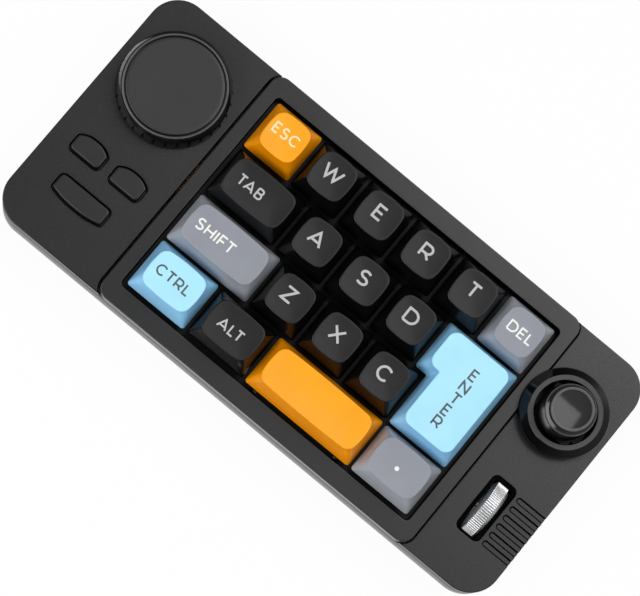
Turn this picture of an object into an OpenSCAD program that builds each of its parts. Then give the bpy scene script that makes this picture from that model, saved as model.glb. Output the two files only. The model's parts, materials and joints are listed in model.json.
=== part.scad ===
// Macro keypad: nineteen keys between a knob module and a joystick module.
// Millimetres. +Z is up, +Y is the back edge, and the rubber feet stand on z = 0.
// The origin lies under the middle of the case.

/* [Case] */
// Width of the case
case_w = 197.6; // [196:0.2:204]
// Depth of the case
case_d = 90.8; // [90:0.2:94]
// Height from the underside of the case to the top of the centre frame
case_h = 18.4; // [18.4:0.1:22]
// Radius of the outer corners, seen from above
case_r = 10.5; // [8:0.5:12]
// Thickness of the side walls
wall_t = 2; // [1.6:0.1:2.4]
// Thickness of the floor
floor_t = 2; // [1.8:0.1:2.4]
// Radius of the rounded bottom edge
bottom_r = 1.4; // [0.5:0.1:1.6]
// Thickness of the two side covers
cover_t = 2.5; // [2.2:0.1:3]
// How far the side covers lie below the centre frame
side_drop = 2.34; // [1.5:0.02:3]
// How far the rubber feet stand out of the case
foot_proud = 1.2; // [0.8:0.1:3]
// Radius of a rubber foot
foot_r = 5; // [4:0.5:6]

/* [Centre frame] */
// Left edge of the centre frame
frame_left = -55.7; // [-56:0.1:-55.4]
// Right edge of the centre frame
frame_right = 69.9; // [69.6:0.1:70.2]
// Corner radius of the centre frame
frame_r = 4.2; // [3:0.1:5]
// Gap between the left cover and the frame
left_seam = 0.8; // [0.3:0.05:1]
// Gap between the right cover and the frame
right_seam = 0.45; // [0.3:0.05:1]
// Room around the key grid at its left and right
opening_side = 0.96; // [0.8:0.02:1.2]
// Room around the key grid at its front and back
opening_end = 0.83; // [0.8:0.02:1.2]

/* [Keys] */
// Distance from one key to the next
pitch = 19.05; // [19:0.05:19.1]
// Left edge of the key grid
grid_left = -49.98; // [-50.2:0.02:-49.8]
// Gap between two neighbouring caps
cap_gap = 0.96; // [0.8:0.02:1.2]
// Height of a cap
cap_h = 8.57; // [8:0.01:9]
// How far the bottom of a cap lies above the frame
cap_lift = 0.41; // [0.3:0.01:1]
// How far each side of a cap leans in on its way up
cap_lean = 2.2; // [1.8:0.1:2.5]
// Thickness of a cap's walls
cap_wall = 1.5; // [1.2:0.1:1.5]
// Thickness of a cap's top
cap_roof = 1.6; // [1.2:0.1:2]
// Travel of a key
key_travel = 4; // [3:0.1:4]
// Distance from a wide key's switch to its stabiliser stems
stab_reach = 11.94; // [11.9:0.01:12]

/* [Knob] */
// Place of the knob, left of the middle
knob_x = -77.3; // [-78:0.1:-77]
// Place of the knob, behind the middle
knob_y = 19.5; // [19:0.1:20]
// Radius of the knob at its foot
knob_r = 18.7; // [18.6:0.1:19]
// Radius of the knob at its shoulder
shoulder_r = 18.3; // [18:0.1:18.4]
// Depth of the knob's shoulder below its top
shoulder_h = 2.6; // [2:0.1:3]
// Radius of the knob at its top edge
knob_top_r = 16.85; // [16.8:0.05:17.2]
// Height of the knob above its cover
knob_h = 8; // [7.5:0.1:9]
// Number of grooves down the knob's skirt
notch_count = 30; // [24:1:32]

/* [Buttons] */
// Place of the two small buttons, in front of the middle
pair_y = -12.33; // [-12.4:0.01:-12]
// Distance from the knob's middle line to each small button
pair_reach = 7.9; // [7.8:0.1:8.2]
// Place of the wide button, in front of the middle
wide_y = -26.6; // [-27:0.1:-26.2]
// How far the buttons stand above their cover
button_proud = 2; // [1.5:0.1:2.5]
// Gap around each button
button_gap = 0.55; // [0.4:0.05:0.7]
// Travel of a button
button_travel = 0.8; // [0.5:0.1:0.8]

/* [Joystick] */
// Middle line of the joystick and of the scroll wheel
stick_x = 82.1; // [82:0.1:82.4]
// Place of the joystick, behind the middle
stick_y = 19.05; // [19:0.05:19.4]
// Outer radius of the collar
collar_r = 14.45; // [14.3:0.05:14.5]
// Height of the collar above its cover
collar_h = 6.8; // [6.5:0.1:7]
// Inner radius of the collar's lip
lip_r = 10.1; // [10:0.1:10.4]
// Height of the stick's rim above its cover
stick_h = 18.8; // [18:0.1:20]

/* [Scroll wheel] */
// Place of the wheel's axle, in front of the middle
wheel_y = -19.7; // [-19.8:0.05:-19.5]
// Depth of the wheel's axle below the top of its cover
wheel_sink = 4.49; // [4.4:0.01:5]
// Radius of the wheel
wheel_r = 10; // [9.5:0.1:10]
// Width of the ribbed tread
tread_w = 4; // [3.6:0.1:4.2]
// Number of ribs
rib_count = 74; // [60:1:80]

/* [Grille] */
// Number of grooves
groove_count = 6; // [3:1:6]
// Distance from one groove to the next
groove_pitch = 3.45; // [3:0.05:3.5]
// Width of a groove
groove_w = 2.1; // [1.6:0.1:2.4]
// Depth of a groove
groove_depth = 1.2; // [0.6:0.1:1.6]

/* [Hidden] */
$fn = 64;
eps = 0.01;
function around(r, a) = [r * cos(a), r * sin(a)];
// Heights above the table
case_z = foot_proud;
floor_z = case_z + floor_t;
frame_z = case_z + case_h;
cover_z = frame_z - side_drop;
plate_z = cover_z - cover_t;
// Switch plate, boards and what stands on them
plate_t = 1.5;
board_t = 1.6;
main_board_z = plate_z - 5;
side_board_z = plate_z - 7.46;
// Key grid: four rows, six key widths
grid_cols = 6;
grid_rows = 4;
grid_w = grid_cols * pitch;
grid_front = -grid_rows * pitch / 2;
grid_mid_x = grid_left + grid_w / 2;
frame_mid_x = (frame_left + frame_right) / 2;
frame_w = frame_right - frame_left;
// Case screws
screw_r = 1;
screw_seat_z = case_z + 1.8;
screw_top_z = plate_z + 1.85;
head_r = 2.4;
head_h = 1.6;
post_r = 3;
frame_posts = [for (x = [-50, -12, 40, 64]) for (y = [-40.9, 40.9]) [x, y]];
cover_posts = [
  [-90.5, -36.5], [-90.5, 36.5], [-60, -38.5], [-60, 38.5],
  [90.5, -36.5], [90.5, 36.5], [74, -38.5], [74, 38.5]
];
feet_at = [for (x = [-84, 84]) for (y = [-31, 31]) [x, y]];
foot_recess = 0.6;
lip_t = 1.4;
lip_h = 1.6;
// Boards in the side modules: left, right, front and back edges
left_board_box = [-95, -58.5, -33, 33];
right_board_box = [71.5, 96, 0, 33];
pad_inset = 2.5;
// Switch parts, measured from the top of the plate
hole_w = 14;
housing_w = 13.9;
housing_low = main_board_z - plate_z;
flange_w = 15.6;
flange_t = 0.9;
housing_top = 6.6;
slider_low = 0.8;
slider_top = 7;
cross_top = 10.2;
pin_r = 1.2;
pin_bore_r = 1.45;
pin_low = -3.2;
stem_r = 2.75;
boss_r = 2;
spring_out_r = 2.2;
spring_in_r = 1.6;
// Stabilisers: the wire's radius, its arms' length, the depth of its bar below the plate's
// top, the angle at which it rests, and the places of its arms
wire_r = 0.8;
wire_arm = 8.6;
wire_drop = 2.6;
wire_rest = 22;
wire_side = 16.8;
wire_tip_z = wire_arm * sin(wire_rest) - wire_drop;
tip_l = 4.8;
clip_w = 7.7;
clip_top = 2.9;
// Cap colours
orange = "#f7a11a";
blue = "#8fcdf0";
grey = "#8c9099";
black = "#2e2f31";
dark = "#3b3c3e";
// Caps: left edge and front edge in key widths from the grid's corner, width, colour
keys = [
  [0, 3, 1, orange], [1, 3, 1, black], [2, 3, 1, black], [3, 3, 1, black],
  [4, 3, 1, black], [5, 3, 1, grey],
  [0, 2, 1.5, black], [1.5, 2, 1, black], [2.5, 2, 1, black], [3.5, 2, 1, black],
  [4.75, 1, 1.25, blue],
  [0, 1, 1.75, grey], [1.75, 1, 1, black], [2.75, 1, 1, black], [3.75, 1, 1, black],
  [0, 0, 1.25, blue], [1.25, 0, 1.25, black], [2.5, 0, 2.25, orange], [4.75, 0, 1.25, grey]
];
enter = 10;
space = 17;
// Knob
knob_low = cover_z + 0.4;
knob_top = cover_z + knob_h;
disc_z = knob_top - 1.4;
disc_r = 15.55;
hub_z = cover_z + 2.4;
shaft_r = 3;
bush_r = 3.5;
// Buttons: sizes of the holes and the radii of their bowed edges
pair_hole = [12.3, 7.95];
pair_bow = 9.8;
wide_hole = [20.3, 7.8];
wide_bow = 34;
hole_r = 1.9;
// Each button has a flange under the cover and a plunger in a small switch
flange_reach = 0.7;
flange_top = plate_z - 0.1;
flange_low = flange_top - 1.2;
tact_w = 6;
tact_top = side_board_z + 3.5;
plunger_top = tact_top + 1.5;
plunger_low = tact_top - 1.4;
plunger_r = 1.7;
wide_reach = 6;
// Joystick
pivot_z = cover_z - 3.56;
dome_r = 12.3;
dome_low = cover_z + 5;
dome_flat = pivot_z + 11.3;
stick_bore = 10.9;
collar_bore = 12.6;
collar_top = cover_z + collar_h;
gimbal_box = 15;
gimbal_wall = 1.5;
gimbal_w = 9.6;
gimbal_inner = 7.2;
gimbal_pin_r = 1.2;
post_pin_r = 1;
post_radius = 2;
// Scroll wheel
axle_z = cover_z - wheel_sink;
axle_r = 1;
slot_w = 9;
slot_l = 21.1;
slot_y = -19.42;
ledge_z = cover_z - 0.7;
ledge_w = 6.6;
ledge_gap = 0.3;
wheel_half = 2.9;
wheel_edge_r = wheel_r - 1.9;
rib_h = 0.4;
rib_w = 0.42;
rib_half = asin(rib_w / 2 / wheel_r);
tread_outline = [
  for (i = [0:rib_count - 1]) let (a = 360 * i / rib_count)
    each [
      around(wheel_r - rib_h, a - rib_half), around(wheel_r, a - rib_half),
      around(wheel_r, a + rib_half), around(wheel_r - rib_h, a + rib_half)
    ]
];
cradle_in = 3.7;
cradle_t = 1.6;
cradle_top = axle_z + 1.9;
groove_left = 87.8;
groove_back = -10.95;
// Cable socket
socket_x = 7;
socket_w = 8.94;
socket_h = 3.26;
socket_l = 7.3;
socket_y = case_d / 2 - 0.2;

// ---- Shapes used again and again ----

// A flat rectangle with round corners, about the origin
module round_rect(w, d, r) {
  square([w - 2 * r, d], center = true);
  square([w, d - 2 * r], center = true);
  for (x = [-1, 1]) for (y = [-1, 1]) translate([x * (w / 2 - r), y * (d / 2 - r)]) circle(r);
}

// A straight box between two heights, about the origin in plan
module slab(w, d, low, high) {
  translate([-w / 2, -d / 2, low]) cube([w, d, high - low]);
}

// A straight round bar between two heights
module rod(r, low, high) {
  translate([0, 0, low]) cylinder(r = r, h = high - low);
}

// A box that leans in on all four sides
module leaning_block(w, d, lean, low, high) {
  intersection() {
    rotate([90, 0, 0]) linear_extrude(d, center = true)
      polygon([[-w / 2, low], [w / 2, low], [w / 2 - lean, high], [lean - w / 2, high]]);
    rotate([90, 0, 90]) linear_extrude(w, center = true)
      polygon([[-d / 2, low], [d / 2, low], [d / 2 - lean, high], [lean - d / 2, high]]);
  }
}

// The outline of the case, and of the centre frame grown by a gap
module case_outline(inset) {
  round_rect(case_w - 2 * inset, case_d - 2 * inset, case_r - inset);
}
module frame_outline(gap) {
  translate([frame_mid_x, 0]) round_rect(frame_w + 2 * gap, case_d + 2 * gap, frame_r + gap);
}

// ---- Case ----

module case_shell() {
  translate([0, 0, case_z + bottom_r]) linear_extrude(plate_z - case_z - bottom_r) case_outline(0);
  // The rounded bottom edge, as one chamfered step
  hull() {
    translate([0, 0, case_z]) linear_extrude(eps, $fn = 32) case_outline(bottom_r);
    translate([0, 0, case_z + bottom_r / 4]) linear_extrude(eps, $fn = 32) case_outline(bottom_r / 3);
    translate([0, 0, case_z + bottom_r]) linear_extrude(eps, $fn = 32) case_outline(0);
  }
}

module board_pads(box) {
  for (x = [box[0] + pad_inset, box[1] - pad_inset]) for (y = [box[2] + pad_inset, box[3] - pad_inset])
    translate([x, y]) rod(1.8, floor_z - eps, side_board_z - board_t);
}

module bottom_case() {
  color(dark) difference() {
    union() {
      difference() {
        case_shell();
        translate([0, 0, floor_z]) linear_extrude(case_h) case_outline(wall_t);
      }
      for (p = frame_posts) translate(p) rod(post_r, floor_z - eps, plate_z - plate_t);
      for (p = cover_posts) translate(p) rod(post_r, floor_z - eps, plate_z);
      board_pads(left_board_box);
      board_pads(right_board_box);
    }
    for (p = concat(frame_posts, cover_posts)) translate(p) {
      rod(screw_r + 0.3, case_z - 1, plate_z + 1);
      rod(head_r + 0.2, case_z - 1, screw_seat_z);
    }
    for (p = feet_at) translate(p) rod(foot_r + 0.1, case_z - 1, case_z + foot_recess);
    // Room for the lowest part of the scroll wheel
    translate([stick_x, wheel_y, axle_z]) rotate([0, 90, 0])
      cylinder(r = wheel_r + 0.4, h = 2 * wheel_half + 1, center = true);
    // Opening for the cable socket
    translate([socket_x, case_d / 2, main_board_z])
      slab(socket_w + 0.4, 3 * wall_t, -0.16, socket_h + 0.16);
  }
}

module centre_frame() {
  color(dark) difference() {
    translate([0, 0, plate_z]) linear_extrude(frame_z - plate_z) difference() {
      frame_outline(0);
      translate([grid_mid_x, 0])
        round_rect(grid_w + 2 * opening_side, grid_rows * pitch + 2 * opening_end, 1.5);
    }
    // The collar stands on a ledge cut into the frame's right edge
    translate([stick_x, stick_y]) rod(collar_r + 0.15, cover_z, frame_z + 1);
    for (p = frame_posts) translate(p) rod(screw_r + 0.05, plate_z - 1, screw_top_z + 0.1);
  }
}

module cover_plate(side, gap) {
  difference() {
    union() {
      translate([0, 0, plate_z]) linear_extrude(cover_t) intersection() {
        case_outline(0);
        cover_region(side, gap);
      }
      // The lip that drops inside the walls
      translate([0, 0, plate_z - lip_h]) linear_extrude(lip_h + eps) intersection() {
        difference() {
          case_outline(wall_t + 0.1);
          case_outline(wall_t + 0.1 + lip_t);
        }
        cover_region(side, gap + 2.5);
      }
    }
    for (p = cover_posts) if (p[0] * side > 0) translate(p)
      rod(screw_r + 0.05, plate_z - 1, screw_top_z + 0.1);
  }
}

// What lies on one side of the centre frame
module cover_region(side, gap) {
  difference() {
    translate([side * (case_w / 2 + 10) + (side < 0 ? frame_left + frame_r : frame_right - frame_r), 0])
      square([case_w + 20, case_d + 20], center = true);
    frame_outline(gap);
  }
}

module small_button_outline(grow) {
  intersection() {
    round_rect(pair_hole[0] + 2 * grow, pair_hole[1] + 2 * grow, hole_r + grow);
    translate([0, pair_hole[1] / 2 - pair_bow]) circle(pair_bow + grow, $fn = 128);
  }
}

module wide_button_outline(grow) {
  intersection() {
    round_rect(wide_hole[0] + 2 * grow, wide_hole[1] + 2 * grow, hole_r + grow);
    translate([0, wide_bow - wide_hole[1] / 2]) circle(wide_bow + grow, $fn = 256);
  }
}

module left_cover() {
  color(dark) difference() {
    cover_plate(-1, left_seam);
    translate([knob_x, knob_y]) rod(bush_r + 0.1, plate_z - 2, cover_z + 1);
    translate([0, 0, plate_z - 1]) linear_extrude(cover_t + 2) {
      for (s = [-1, 1]) translate([knob_x + s * pair_reach, pair_y]) small_button_outline(0);
      translate([knob_x, wide_y]) wide_button_outline(0);
    }
  }
}

module right_cover() {
  color(dark) difference() {
    cover_plate(1, right_seam);
    translate([stick_x, stick_y]) rod(stick_bore, plate_z - 2, cover_z + 1);
    // The wheel's slot, with a ledge inside that follows the wheel closely
    translate([stick_x, slot_y, ledge_z]) linear_extrude(cover_t) round_rect(slot_w, slot_l, 2);
    along_axle() cylinder(r = wheel_r + ledge_gap, h = ledge_w, center = true);
    for (i = [0:groove_count - 1]) translate([0, groove_back - i * groove_pitch, cover_z - groove_depth]) {
      translate([groove_left + groove_w / 2, -groove_w / 2, 0]) cube([20, groove_w, cover_t]);
      translate([groove_left + groove_w / 2, 0, 0]) cylinder(d = groove_w, h = cover_t);
    }
  }
}

module case_screws() {
  color("silver") for (p = concat(frame_posts, cover_posts)) translate(p) difference() {
    union() {
      rod(head_r, screw_seat_z - head_h, screw_seat_z);
      rod(screw_r, screw_seat_z - eps, screw_top_z);
    }
    translate([0, 0, screw_seat_z - head_h - eps]) cylinder(r = 1, h = 0.9, $fn = 6);
  }
}

module rubber_feet() {
  color("#1c1c1c") for (p = feet_at) translate(p) rotate_extrude()
    polygon([
      [0, 0], [foot_r - 0.5, 0], [foot_r, 0.5],
      [foot_r, case_z + foot_recess], [0, case_z + foot_recess]
    ]);
}

// ---- Plate, boards and electronics ----

function switch_at(i) = i == enter
  ? [grid_left + (keys[i][0] + keys[i][2] / 2) * pitch, grid_front + 2 * pitch]
  : [grid_left + (keys[i][0] + keys[i][2] / 2) * pitch, grid_front + (keys[i][1] + 0.5) * pitch];

// Places what belongs to one switch, at the top of the plate
module at_switch(i) {
  translate([switch_at(i)[0], switch_at(i)[1], plate_z]) children();
}

// The same for a stabiliser, turned so that its wire lies along the cap's long side
module at_stabiliser(i) {
  at_switch(i) rotate([0, 0, i == enter ? 90 : 0]) children();
}

module switch_plate() {
  color("#8a8b8d") difference() {
    translate([frame_mid_x, 0, plate_z - plate_t]) linear_extrude(plate_t)
      round_rect(frame_w - 3.4, case_d - 4.8, 2.5);
    for (i = [0:len(keys) - 1]) translate(switch_at(i)) slab(hole_w, hole_w, plate_z - 2, plate_z + 1);
    for (p = frame_posts) translate(p) rod(screw_r + 0.4, plate_z - 2, plate_z + 1);
    for (i = [space, enter]) at_stabiliser(i) for (s = [-1, 1]) {
      translate([s * stab_reach, 0]) slab(clip_w + 0.1, clip_w + 0.1, -2, 1);
      translate([s * wire_side, -wire_arm / 2]) slab(2.4, wire_arm + 3, -2, 1);
    }
  }
}

module main_board() {
  color("#1d4a35") difference() {
    union() {
      translate([grid_mid_x, 0])
        slab(grid_w + 0.2, grid_rows * pitch - 1, main_board_z - board_t, main_board_z);
      translate([socket_x, 40]) slab(14, 6.4, main_board_z - board_t, main_board_z);
    }
    for (i = [0:len(keys) - 1]) translate(switch_at(i))
      rod(boss_r + 0.1, main_board_z - 3, main_board_z + 1);
  }
}

module side_board(box) {
  translate([box[0], box[2], side_board_z - board_t]) cube([box[1] - box[0], box[3] - box[2], board_t]);
}
module left_board() { color("#1d4a35") side_board(left_board_box); }
module right_board() { color("#1d4a35") side_board(right_board_box); }

// A thin flat cable from a side board up to the underside of the main board
module link_flex(side_x, main_x, dir) {
  low = side_board_z;
  high = main_board_z - board_t;
  t = 0.3;
  translate([0, 8, 0]) rotate([90, 0, 0]) linear_extrude(12) polygon([
    [side_x, low], [side_x - dir * 3, low], [side_x - dir * 3, low + t],
    [side_x, low + t], [main_x, high], [main_x + dir * 3, high],
    [main_x + dir * 3, high - t], [main_x, high - t]
  ]);
}
module link_flexes() {
  color("#b8742c") {
    link_flex(left_board_box[1], grid_left, 1);
    link_flex(right_board_box[0], grid_left + grid_w, -1);
  }
}

module board_chips() {
  color("#202124") {
    translate([10, 2]) slab(8, 8, main_board_z - board_t - 1, main_board_z - board_t);
    translate([22, 2]) slab(4, 3, main_board_z - board_t - 0.9, main_board_z - board_t);
    translate([-2, -6]) slab(3, 2.5, main_board_z - board_t - 0.8, main_board_z - board_t);
  }
}

module cable_socket() {
  color("silver") translate([socket_x, socket_y - socket_l, main_board_z + socket_h / 2]) difference() {
    rotate([-90, 0, 0]) linear_extrude(socket_l) round_rect(socket_w, socket_h, 1.2);
    difference() {
      translate([0, 1, 0]) rotate([-90, 0, 0]) linear_extrude(socket_l) round_rect(8.3, 2.6, 1);
      translate([0, socket_l / 2, 0]) slab(6.7, socket_l - 1.4, -0.35, 0.35);
    }
  }
}

// ---- Switches ----

module switch_housing() {
  difference() {
    union() {
      slab(housing_w, housing_w, housing_low, 0);
      slab(flange_w, flange_w, 0, flange_t);
      leaning_block(14.2, 14.2, 1.6, flange_t - eps, housing_top);
      rod(boss_r, pin_low - key_travel - 1.1, housing_low + eps);
    }
    // The slider's shaft and chamber, and the guide bore for its pin
    slab(7.6, 6.4, 0, housing_top + 1);
    slab(9, 8, slider_low - key_travel - 0.8, 5.7);
    rod(pin_bore_r, pin_low - key_travel - 0.6, 0);
  }
}

module switch_housings() {
  color("#26282b") for (i = [0:len(keys) - 1]) at_switch(i) switch_housing();
}

module switch_springs() {
  color("silver") for (i = [0:len(keys) - 1]) at_switch(i) difference() {
    rod(spring_out_r, slider_low - key_travel - 0.8, slider_low);
    rod(spring_in_r, housing_low, slider_low + 1);
  }
}

// The cross that a cap is pushed on to
module cross(slack, low, high) {
  slab(4 + slack, 1.3 + slack, low, high);
  slab(1.1 + slack, 4 + slack, low, high);
}

// The moving part inside a switch
module slider() {
  rod(pin_r, pin_low, slider_low + eps);
  slab(8.4, 7.4, slider_low, 5.4);
  slab(7, 5.8, 5.4 - eps, slider_top);
  cross(0, slider_top - eps, cross_top);
}

// ---- Stabilisers under the two long keys ----

module stabiliser_stem() {
  difference() {
    slab(5, 4.4, -0.6, 6.8);
    translate([0, -0.3, wire_tip_z]) slab(8, 2.5, -wire_r - 0.12, wire_r + 0.12);
  }
  cross(0, 6.8 - eps, cross_top);
}

module stabiliser_clip() {
  difference() {
    union() {
      slab(clip_w, clip_w, housing_low + 0.1, clip_top);
      translate([0, -7]) slab(4, 6.6, -wire_drop - 1.3, -plate_t - 0.1);
    }
    slab(5.3, 4.7, -5.2, 5);
    // Slot in which the end of the wire rises and falls
    translate([3, -0.3]) slab(6, 2.7, -4.4, 1.7);
    translate([0, -wire_arm, -wire_drop]) rotate([0, 90, 0])
      cylinder(r = wire_r + 0.06, h = 10, center = true);
  }
}

module stabiliser_clips() {
  color("#26282b") for (i = [space, enter]) at_stabiliser(i) for (s = [0, 1]) mirror([s, 0, 0])
    translate([stab_reach, 0]) stabiliser_clip();
}

// A bar under the plate with an arm at each end, whose tip turns in to the stem
module stabiliser_wire() {
  translate([0, -wire_arm, -wire_drop]) rotate([wire_rest, 0, 0]) {
    rotate([0, 90, 0]) cylinder(r = wire_r, h = 2 * wire_side, center = true);
    for (s = [-1, 1]) {
      translate([s * wire_side, 0, 0]) {
        sphere(wire_r);
        rotate([-90, 0, 0]) cylinder(r = wire_r, h = wire_arm);
        translate([0, wire_arm, 0]) sphere(wire_r);
      }
      translate([s * (wire_side - tip_l / 2), wire_arm, 0]) rotate([0, 90, 0])
        cylinder(r = wire_r, h = tip_l, center = true);
    }
  }
}
module space_wire() { color("silver") at_stabiliser(space) stabiliser_wire(); }
module enter_wire() { color("silver") at_stabiliser(enter) stabiliser_wire(); }

// ---- Caps ----

// One leaning block with round corners, on the grid. Two of them can't share a side
// face, so the blocks of the stepped cap keep plain corners.
module cap_block(x, y, w, d, inset, high, round = true) {
  lean = cap_lean * (high - inset) / cap_h;
  side = w * pitch - cap_gap - 2 * inset;
  end = d * pitch - cap_gap - 2 * inset;
  translate([grid_left + (x + w / 2) * pitch, grid_front + (y + d / 2) * pitch, frame_z + cap_lift]) {
    if (round) hull() {
      linear_extrude(eps, $fn = 24) round_rect(side, end, 1.2);
      translate([0, 0, high - eps]) linear_extrude(eps, $fn = 24)
        round_rect(side - 2 * lean, end - 2 * lean, 2.6 - inset);
    } else leaning_block(side, end, lean, 0, high);
  }
}

// The solid form of a cap, or of the hollow inside it
module cap_form(i, inset, high) {
  if (i == enter) {
    cap_block(4.5, 2, 1.5, 1, inset, high, false);
    cap_block(4.75, 1, 1.25, 2, inset, high, false);
  } else {
    cap_block(keys[i][0], keys[i][1], keys[i][2], 1, inset, high);
  }
}

module cap_post() {
  difference() {
    rod(stem_r, slider_top + 0.15, frame_z + cap_lift + cap_h - cap_roof - plate_z + eps);
    cross(0.1, slider_top, cross_top + 0.1);
  }
}

module key(i) {
  color(keys[i][3]) {
    difference() {
      cap_form(i, 0, cap_h);
      translate([0, 0, -eps]) cap_form(i, cap_wall, cap_h - cap_roof);
    }
    at_switch(i) cap_post();
    if (i == space || i == enter) at_stabiliser(i) for (s = [-1, 1])
      translate([s * stab_reach, 0]) cap_post();
  }
  color("#b3322c") at_switch(i) slider();
  if (i == space || i == enter) color(dark) at_stabiliser(i) for (s = [0, 1]) mirror([s, 0, 0])
    translate([stab_reach, 0]) stabiliser_stem();
}

module key_esc() { key(0); }
module key_w() { key(1); }
module key_e() { key(2); }
module key_r() { key(3); }
module key_t() { key(4); }
module key_del() { key(5); }
module key_tab() { key(6); }
module key_a() { key(7); }
module key_s() { key(8); }
module key_d() { key(9); }
module key_enter() { key(enter); }
module key_shift() { key(11); }
module key_z() { key(12); }
module key_x() { key(13); }
module key_c() { key(14); }
module key_ctrl() { key(15); }
module key_alt() { key(16); }
module key_space() { key(space); }
module key_dot() { key(18); }

// ---- Knob and its encoder ----

module knob_skirt() {
  color("#1b1c1e") translate([knob_x, knob_y]) difference() {
    rotate_extrude($fn = 120) polygon([
      [shaft_r + 0.03, hub_z], [6, hub_z], [6, disc_z - 1.5], [disc_r - 0.6, disc_z - 1.5],
      [knob_r - 1.5, knob_low], [knob_r, knob_low], [knob_r, knob_low + 0.6],
      [shoulder_r, knob_top - shoulder_h], [knob_top_r, knob_top - 0.4],
      [knob_top_r - 0.2, knob_top], [disc_r + 0.5, knob_top], [disc_r + 0.5, disc_z],
      [shaft_r + 0.03, disc_z]
    ]);
    // Grooves with a V for their section, open at the shoulder
    for (i = [0:notch_count - 1]) rotate([0, 0, 360 * i / notch_count])
      translate([knob_r + 0.05, 0, knob_low + 1]) rotate([0, 0, 45])
        translate([-0.5, -0.5, 0]) cube([1, 1, knob_h]);
  }
}

module knob_disc() {
  color("#4a4b4d") translate([knob_x, knob_y]) rotate_extrude($fn = 128) polygon([
    [0, disc_z], [disc_r, disc_z], [disc_r, knob_top - 0.1], [disc_r - 0.2, knob_top + 0.1],
    [0, knob_top + 0.1]
  ]);
}

module encoder_shaft() {
  color("silver") translate([knob_x, knob_y]) rod(shaft_r, side_board_z + 1.4, disc_z);
}

module encoder_body() {
  color("#9a9c9e") translate([knob_x, knob_y]) difference() {
    union() {
      slab(12, 13.2, side_board_z, side_board_z + 6.5);
      rod(bush_r, side_board_z + 6.4, cover_z + 2);
    }
    rod(shaft_r + 0.06, side_board_z + 1, cover_z + 3);
  }
}

module encoder_nut() {
  color("silver") translate([knob_x, knob_y]) difference() {
    translate([0, 0, cover_z]) cylinder(r = 5.8, h = 1.9, $fn = 6);
    rod(bush_r + 0.02, cover_z - 1, cover_z + 3);
  }
}

// ---- Buttons and the little switches under them ----

// The bosses under a button, and the plungers that they press
module plungers(places) {
  for (x = places) translate([x, 0]) {
    rod(plunger_r + 0.5, plunger_top + 0.1, flange_low + 0.2);
    rod(plunger_r, plunger_low, plunger_top);
  }
}

module small_button(side) {
  color(dark) translate([knob_x + side * pair_reach, pair_y]) {
    translate([0, 0, flange_low]) {
      linear_extrude(cover_z + button_proud - flange_low) small_button_outline(-button_gap);
      linear_extrude(flange_top - flange_low) small_button_outline(flange_reach);
    }
    plungers([0]);
  }
}
module button_left() { small_button(-1); }
module button_right() { small_button(1); }

module button_wide() {
  color(dark) translate([knob_x, wide_y]) {
    translate([0, 0, flange_low]) {
      linear_extrude(cover_z + button_proud - flange_low) wide_button_outline(-button_gap);
      linear_extrude(flange_top - flange_low) wide_button_outline(flange_reach);
    }
    plungers([-wide_reach, wide_reach]);
  }
}

module tact_switch() {
  difference() {
    slab(tact_w, tact_w, side_board_z, tact_top);
    rod(plunger_r + 0.15, plunger_low - button_travel - 0.5, tact_top + 1);
  }
}
module tact_switches() {
  color("#2a2b2d") for (s = [-1, 1]) {
    translate([knob_x + s * pair_reach, pair_y]) tact_switch();
    translate([knob_x + s * wide_reach, wide_y]) tact_switch();
  }
}

// ---- Joystick ----

module joystick_collar() {
  color("#2b2c2e") translate([stick_x, stick_y]) rotate_extrude($fn = 128) polygon([
    [collar_bore, cover_z], [collar_r, cover_z], [collar_r, cover_z + 4.5],
    [collar_r - 0.12, cover_z + 4.62], [collar_r - 2.44, collar_top - 0.3], [collar_r - 2.6, collar_top],
    [lip_r, collar_top], [lip_r, collar_top - 1.4], [collar_bore, collar_top - 2.6]
  ]);
}

module joystick_housing() {
  color("#26282b") translate([stick_x, stick_y]) difference() {
    union() {
      slab(gimbal_box, gimbal_box, side_board_z, pivot_z + 3.1);
      // The two sensors that read the tilt
      translate([gimbal_box / 2 + 1.3, 0]) slab(2.7, 9, side_board_z, pivot_z + 0.8);
      translate([0, gimbal_box / 2 + 1.3]) slab(9, 2.7, side_board_z, pivot_z + 0.8);
    }
    slab(gimbal_box - 2 * gimbal_wall, gimbal_box - 2 * gimbal_wall, side_board_z + 1.2, pivot_z + 2.2);
    slab(gimbal_w + 0.8, gimbal_w + 0.8, pivot_z, pivot_z + 4);
    translate([0, 0, pivot_z]) rotate([0, 90, 0])
      cylinder(r = gimbal_pin_r + 0.06, h = gimbal_box - 0.6, center = true);
  }
}

// The ring that rocks front to back on two side pins
module joystick_gimbal() {
  color("#d8d5cc") translate([stick_x, stick_y, pivot_z]) difference() {
    union() {
      slab(gimbal_w, gimbal_w, -1.5, 1.5);
      rotate([0, 90, 0]) cylinder(r = gimbal_pin_r, h = gimbal_box - 1, center = true);
    }
    slab(gimbal_inner, gimbal_inner, -3, 3);
    rotate([90, 0, 0]) cylinder(r = post_pin_r + 0.05, h = 2 * gimbal_w, center = true);
  }
}

// The post that rocks side to side in the ring
module joystick_shaft() {
  color("silver") translate([stick_x, stick_y, pivot_z]) {
    rod(post_radius, -3.1, dome_flat - pivot_z + 4.4);
    rod(post_radius + 0.5, -3.1, -2.5);
    rotate([90, 0, 0]) cylinder(r = post_pin_r, h = gimbal_w - 0.4, center = true);
  }
}

module joystick_dome() {
  color("#2b2c2e") translate([stick_x, stick_y]) difference() {
    intersection() {
      translate([0, 0, pivot_z]) sphere(dome_r, $fn = 96);
      rod(dome_r, dome_low, dome_flat);
    }
    // Hollow below a thick crown that grips the post
    difference() {
      translate([0, 0, pivot_z]) sphere(dome_r - 1.3, $fn = 96);
      rod(5, dome_flat - 2.6, dome_flat + 1);
    }
    rod(post_radius + 0.03, pivot_z, dome_flat + 1);
  }
}

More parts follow.
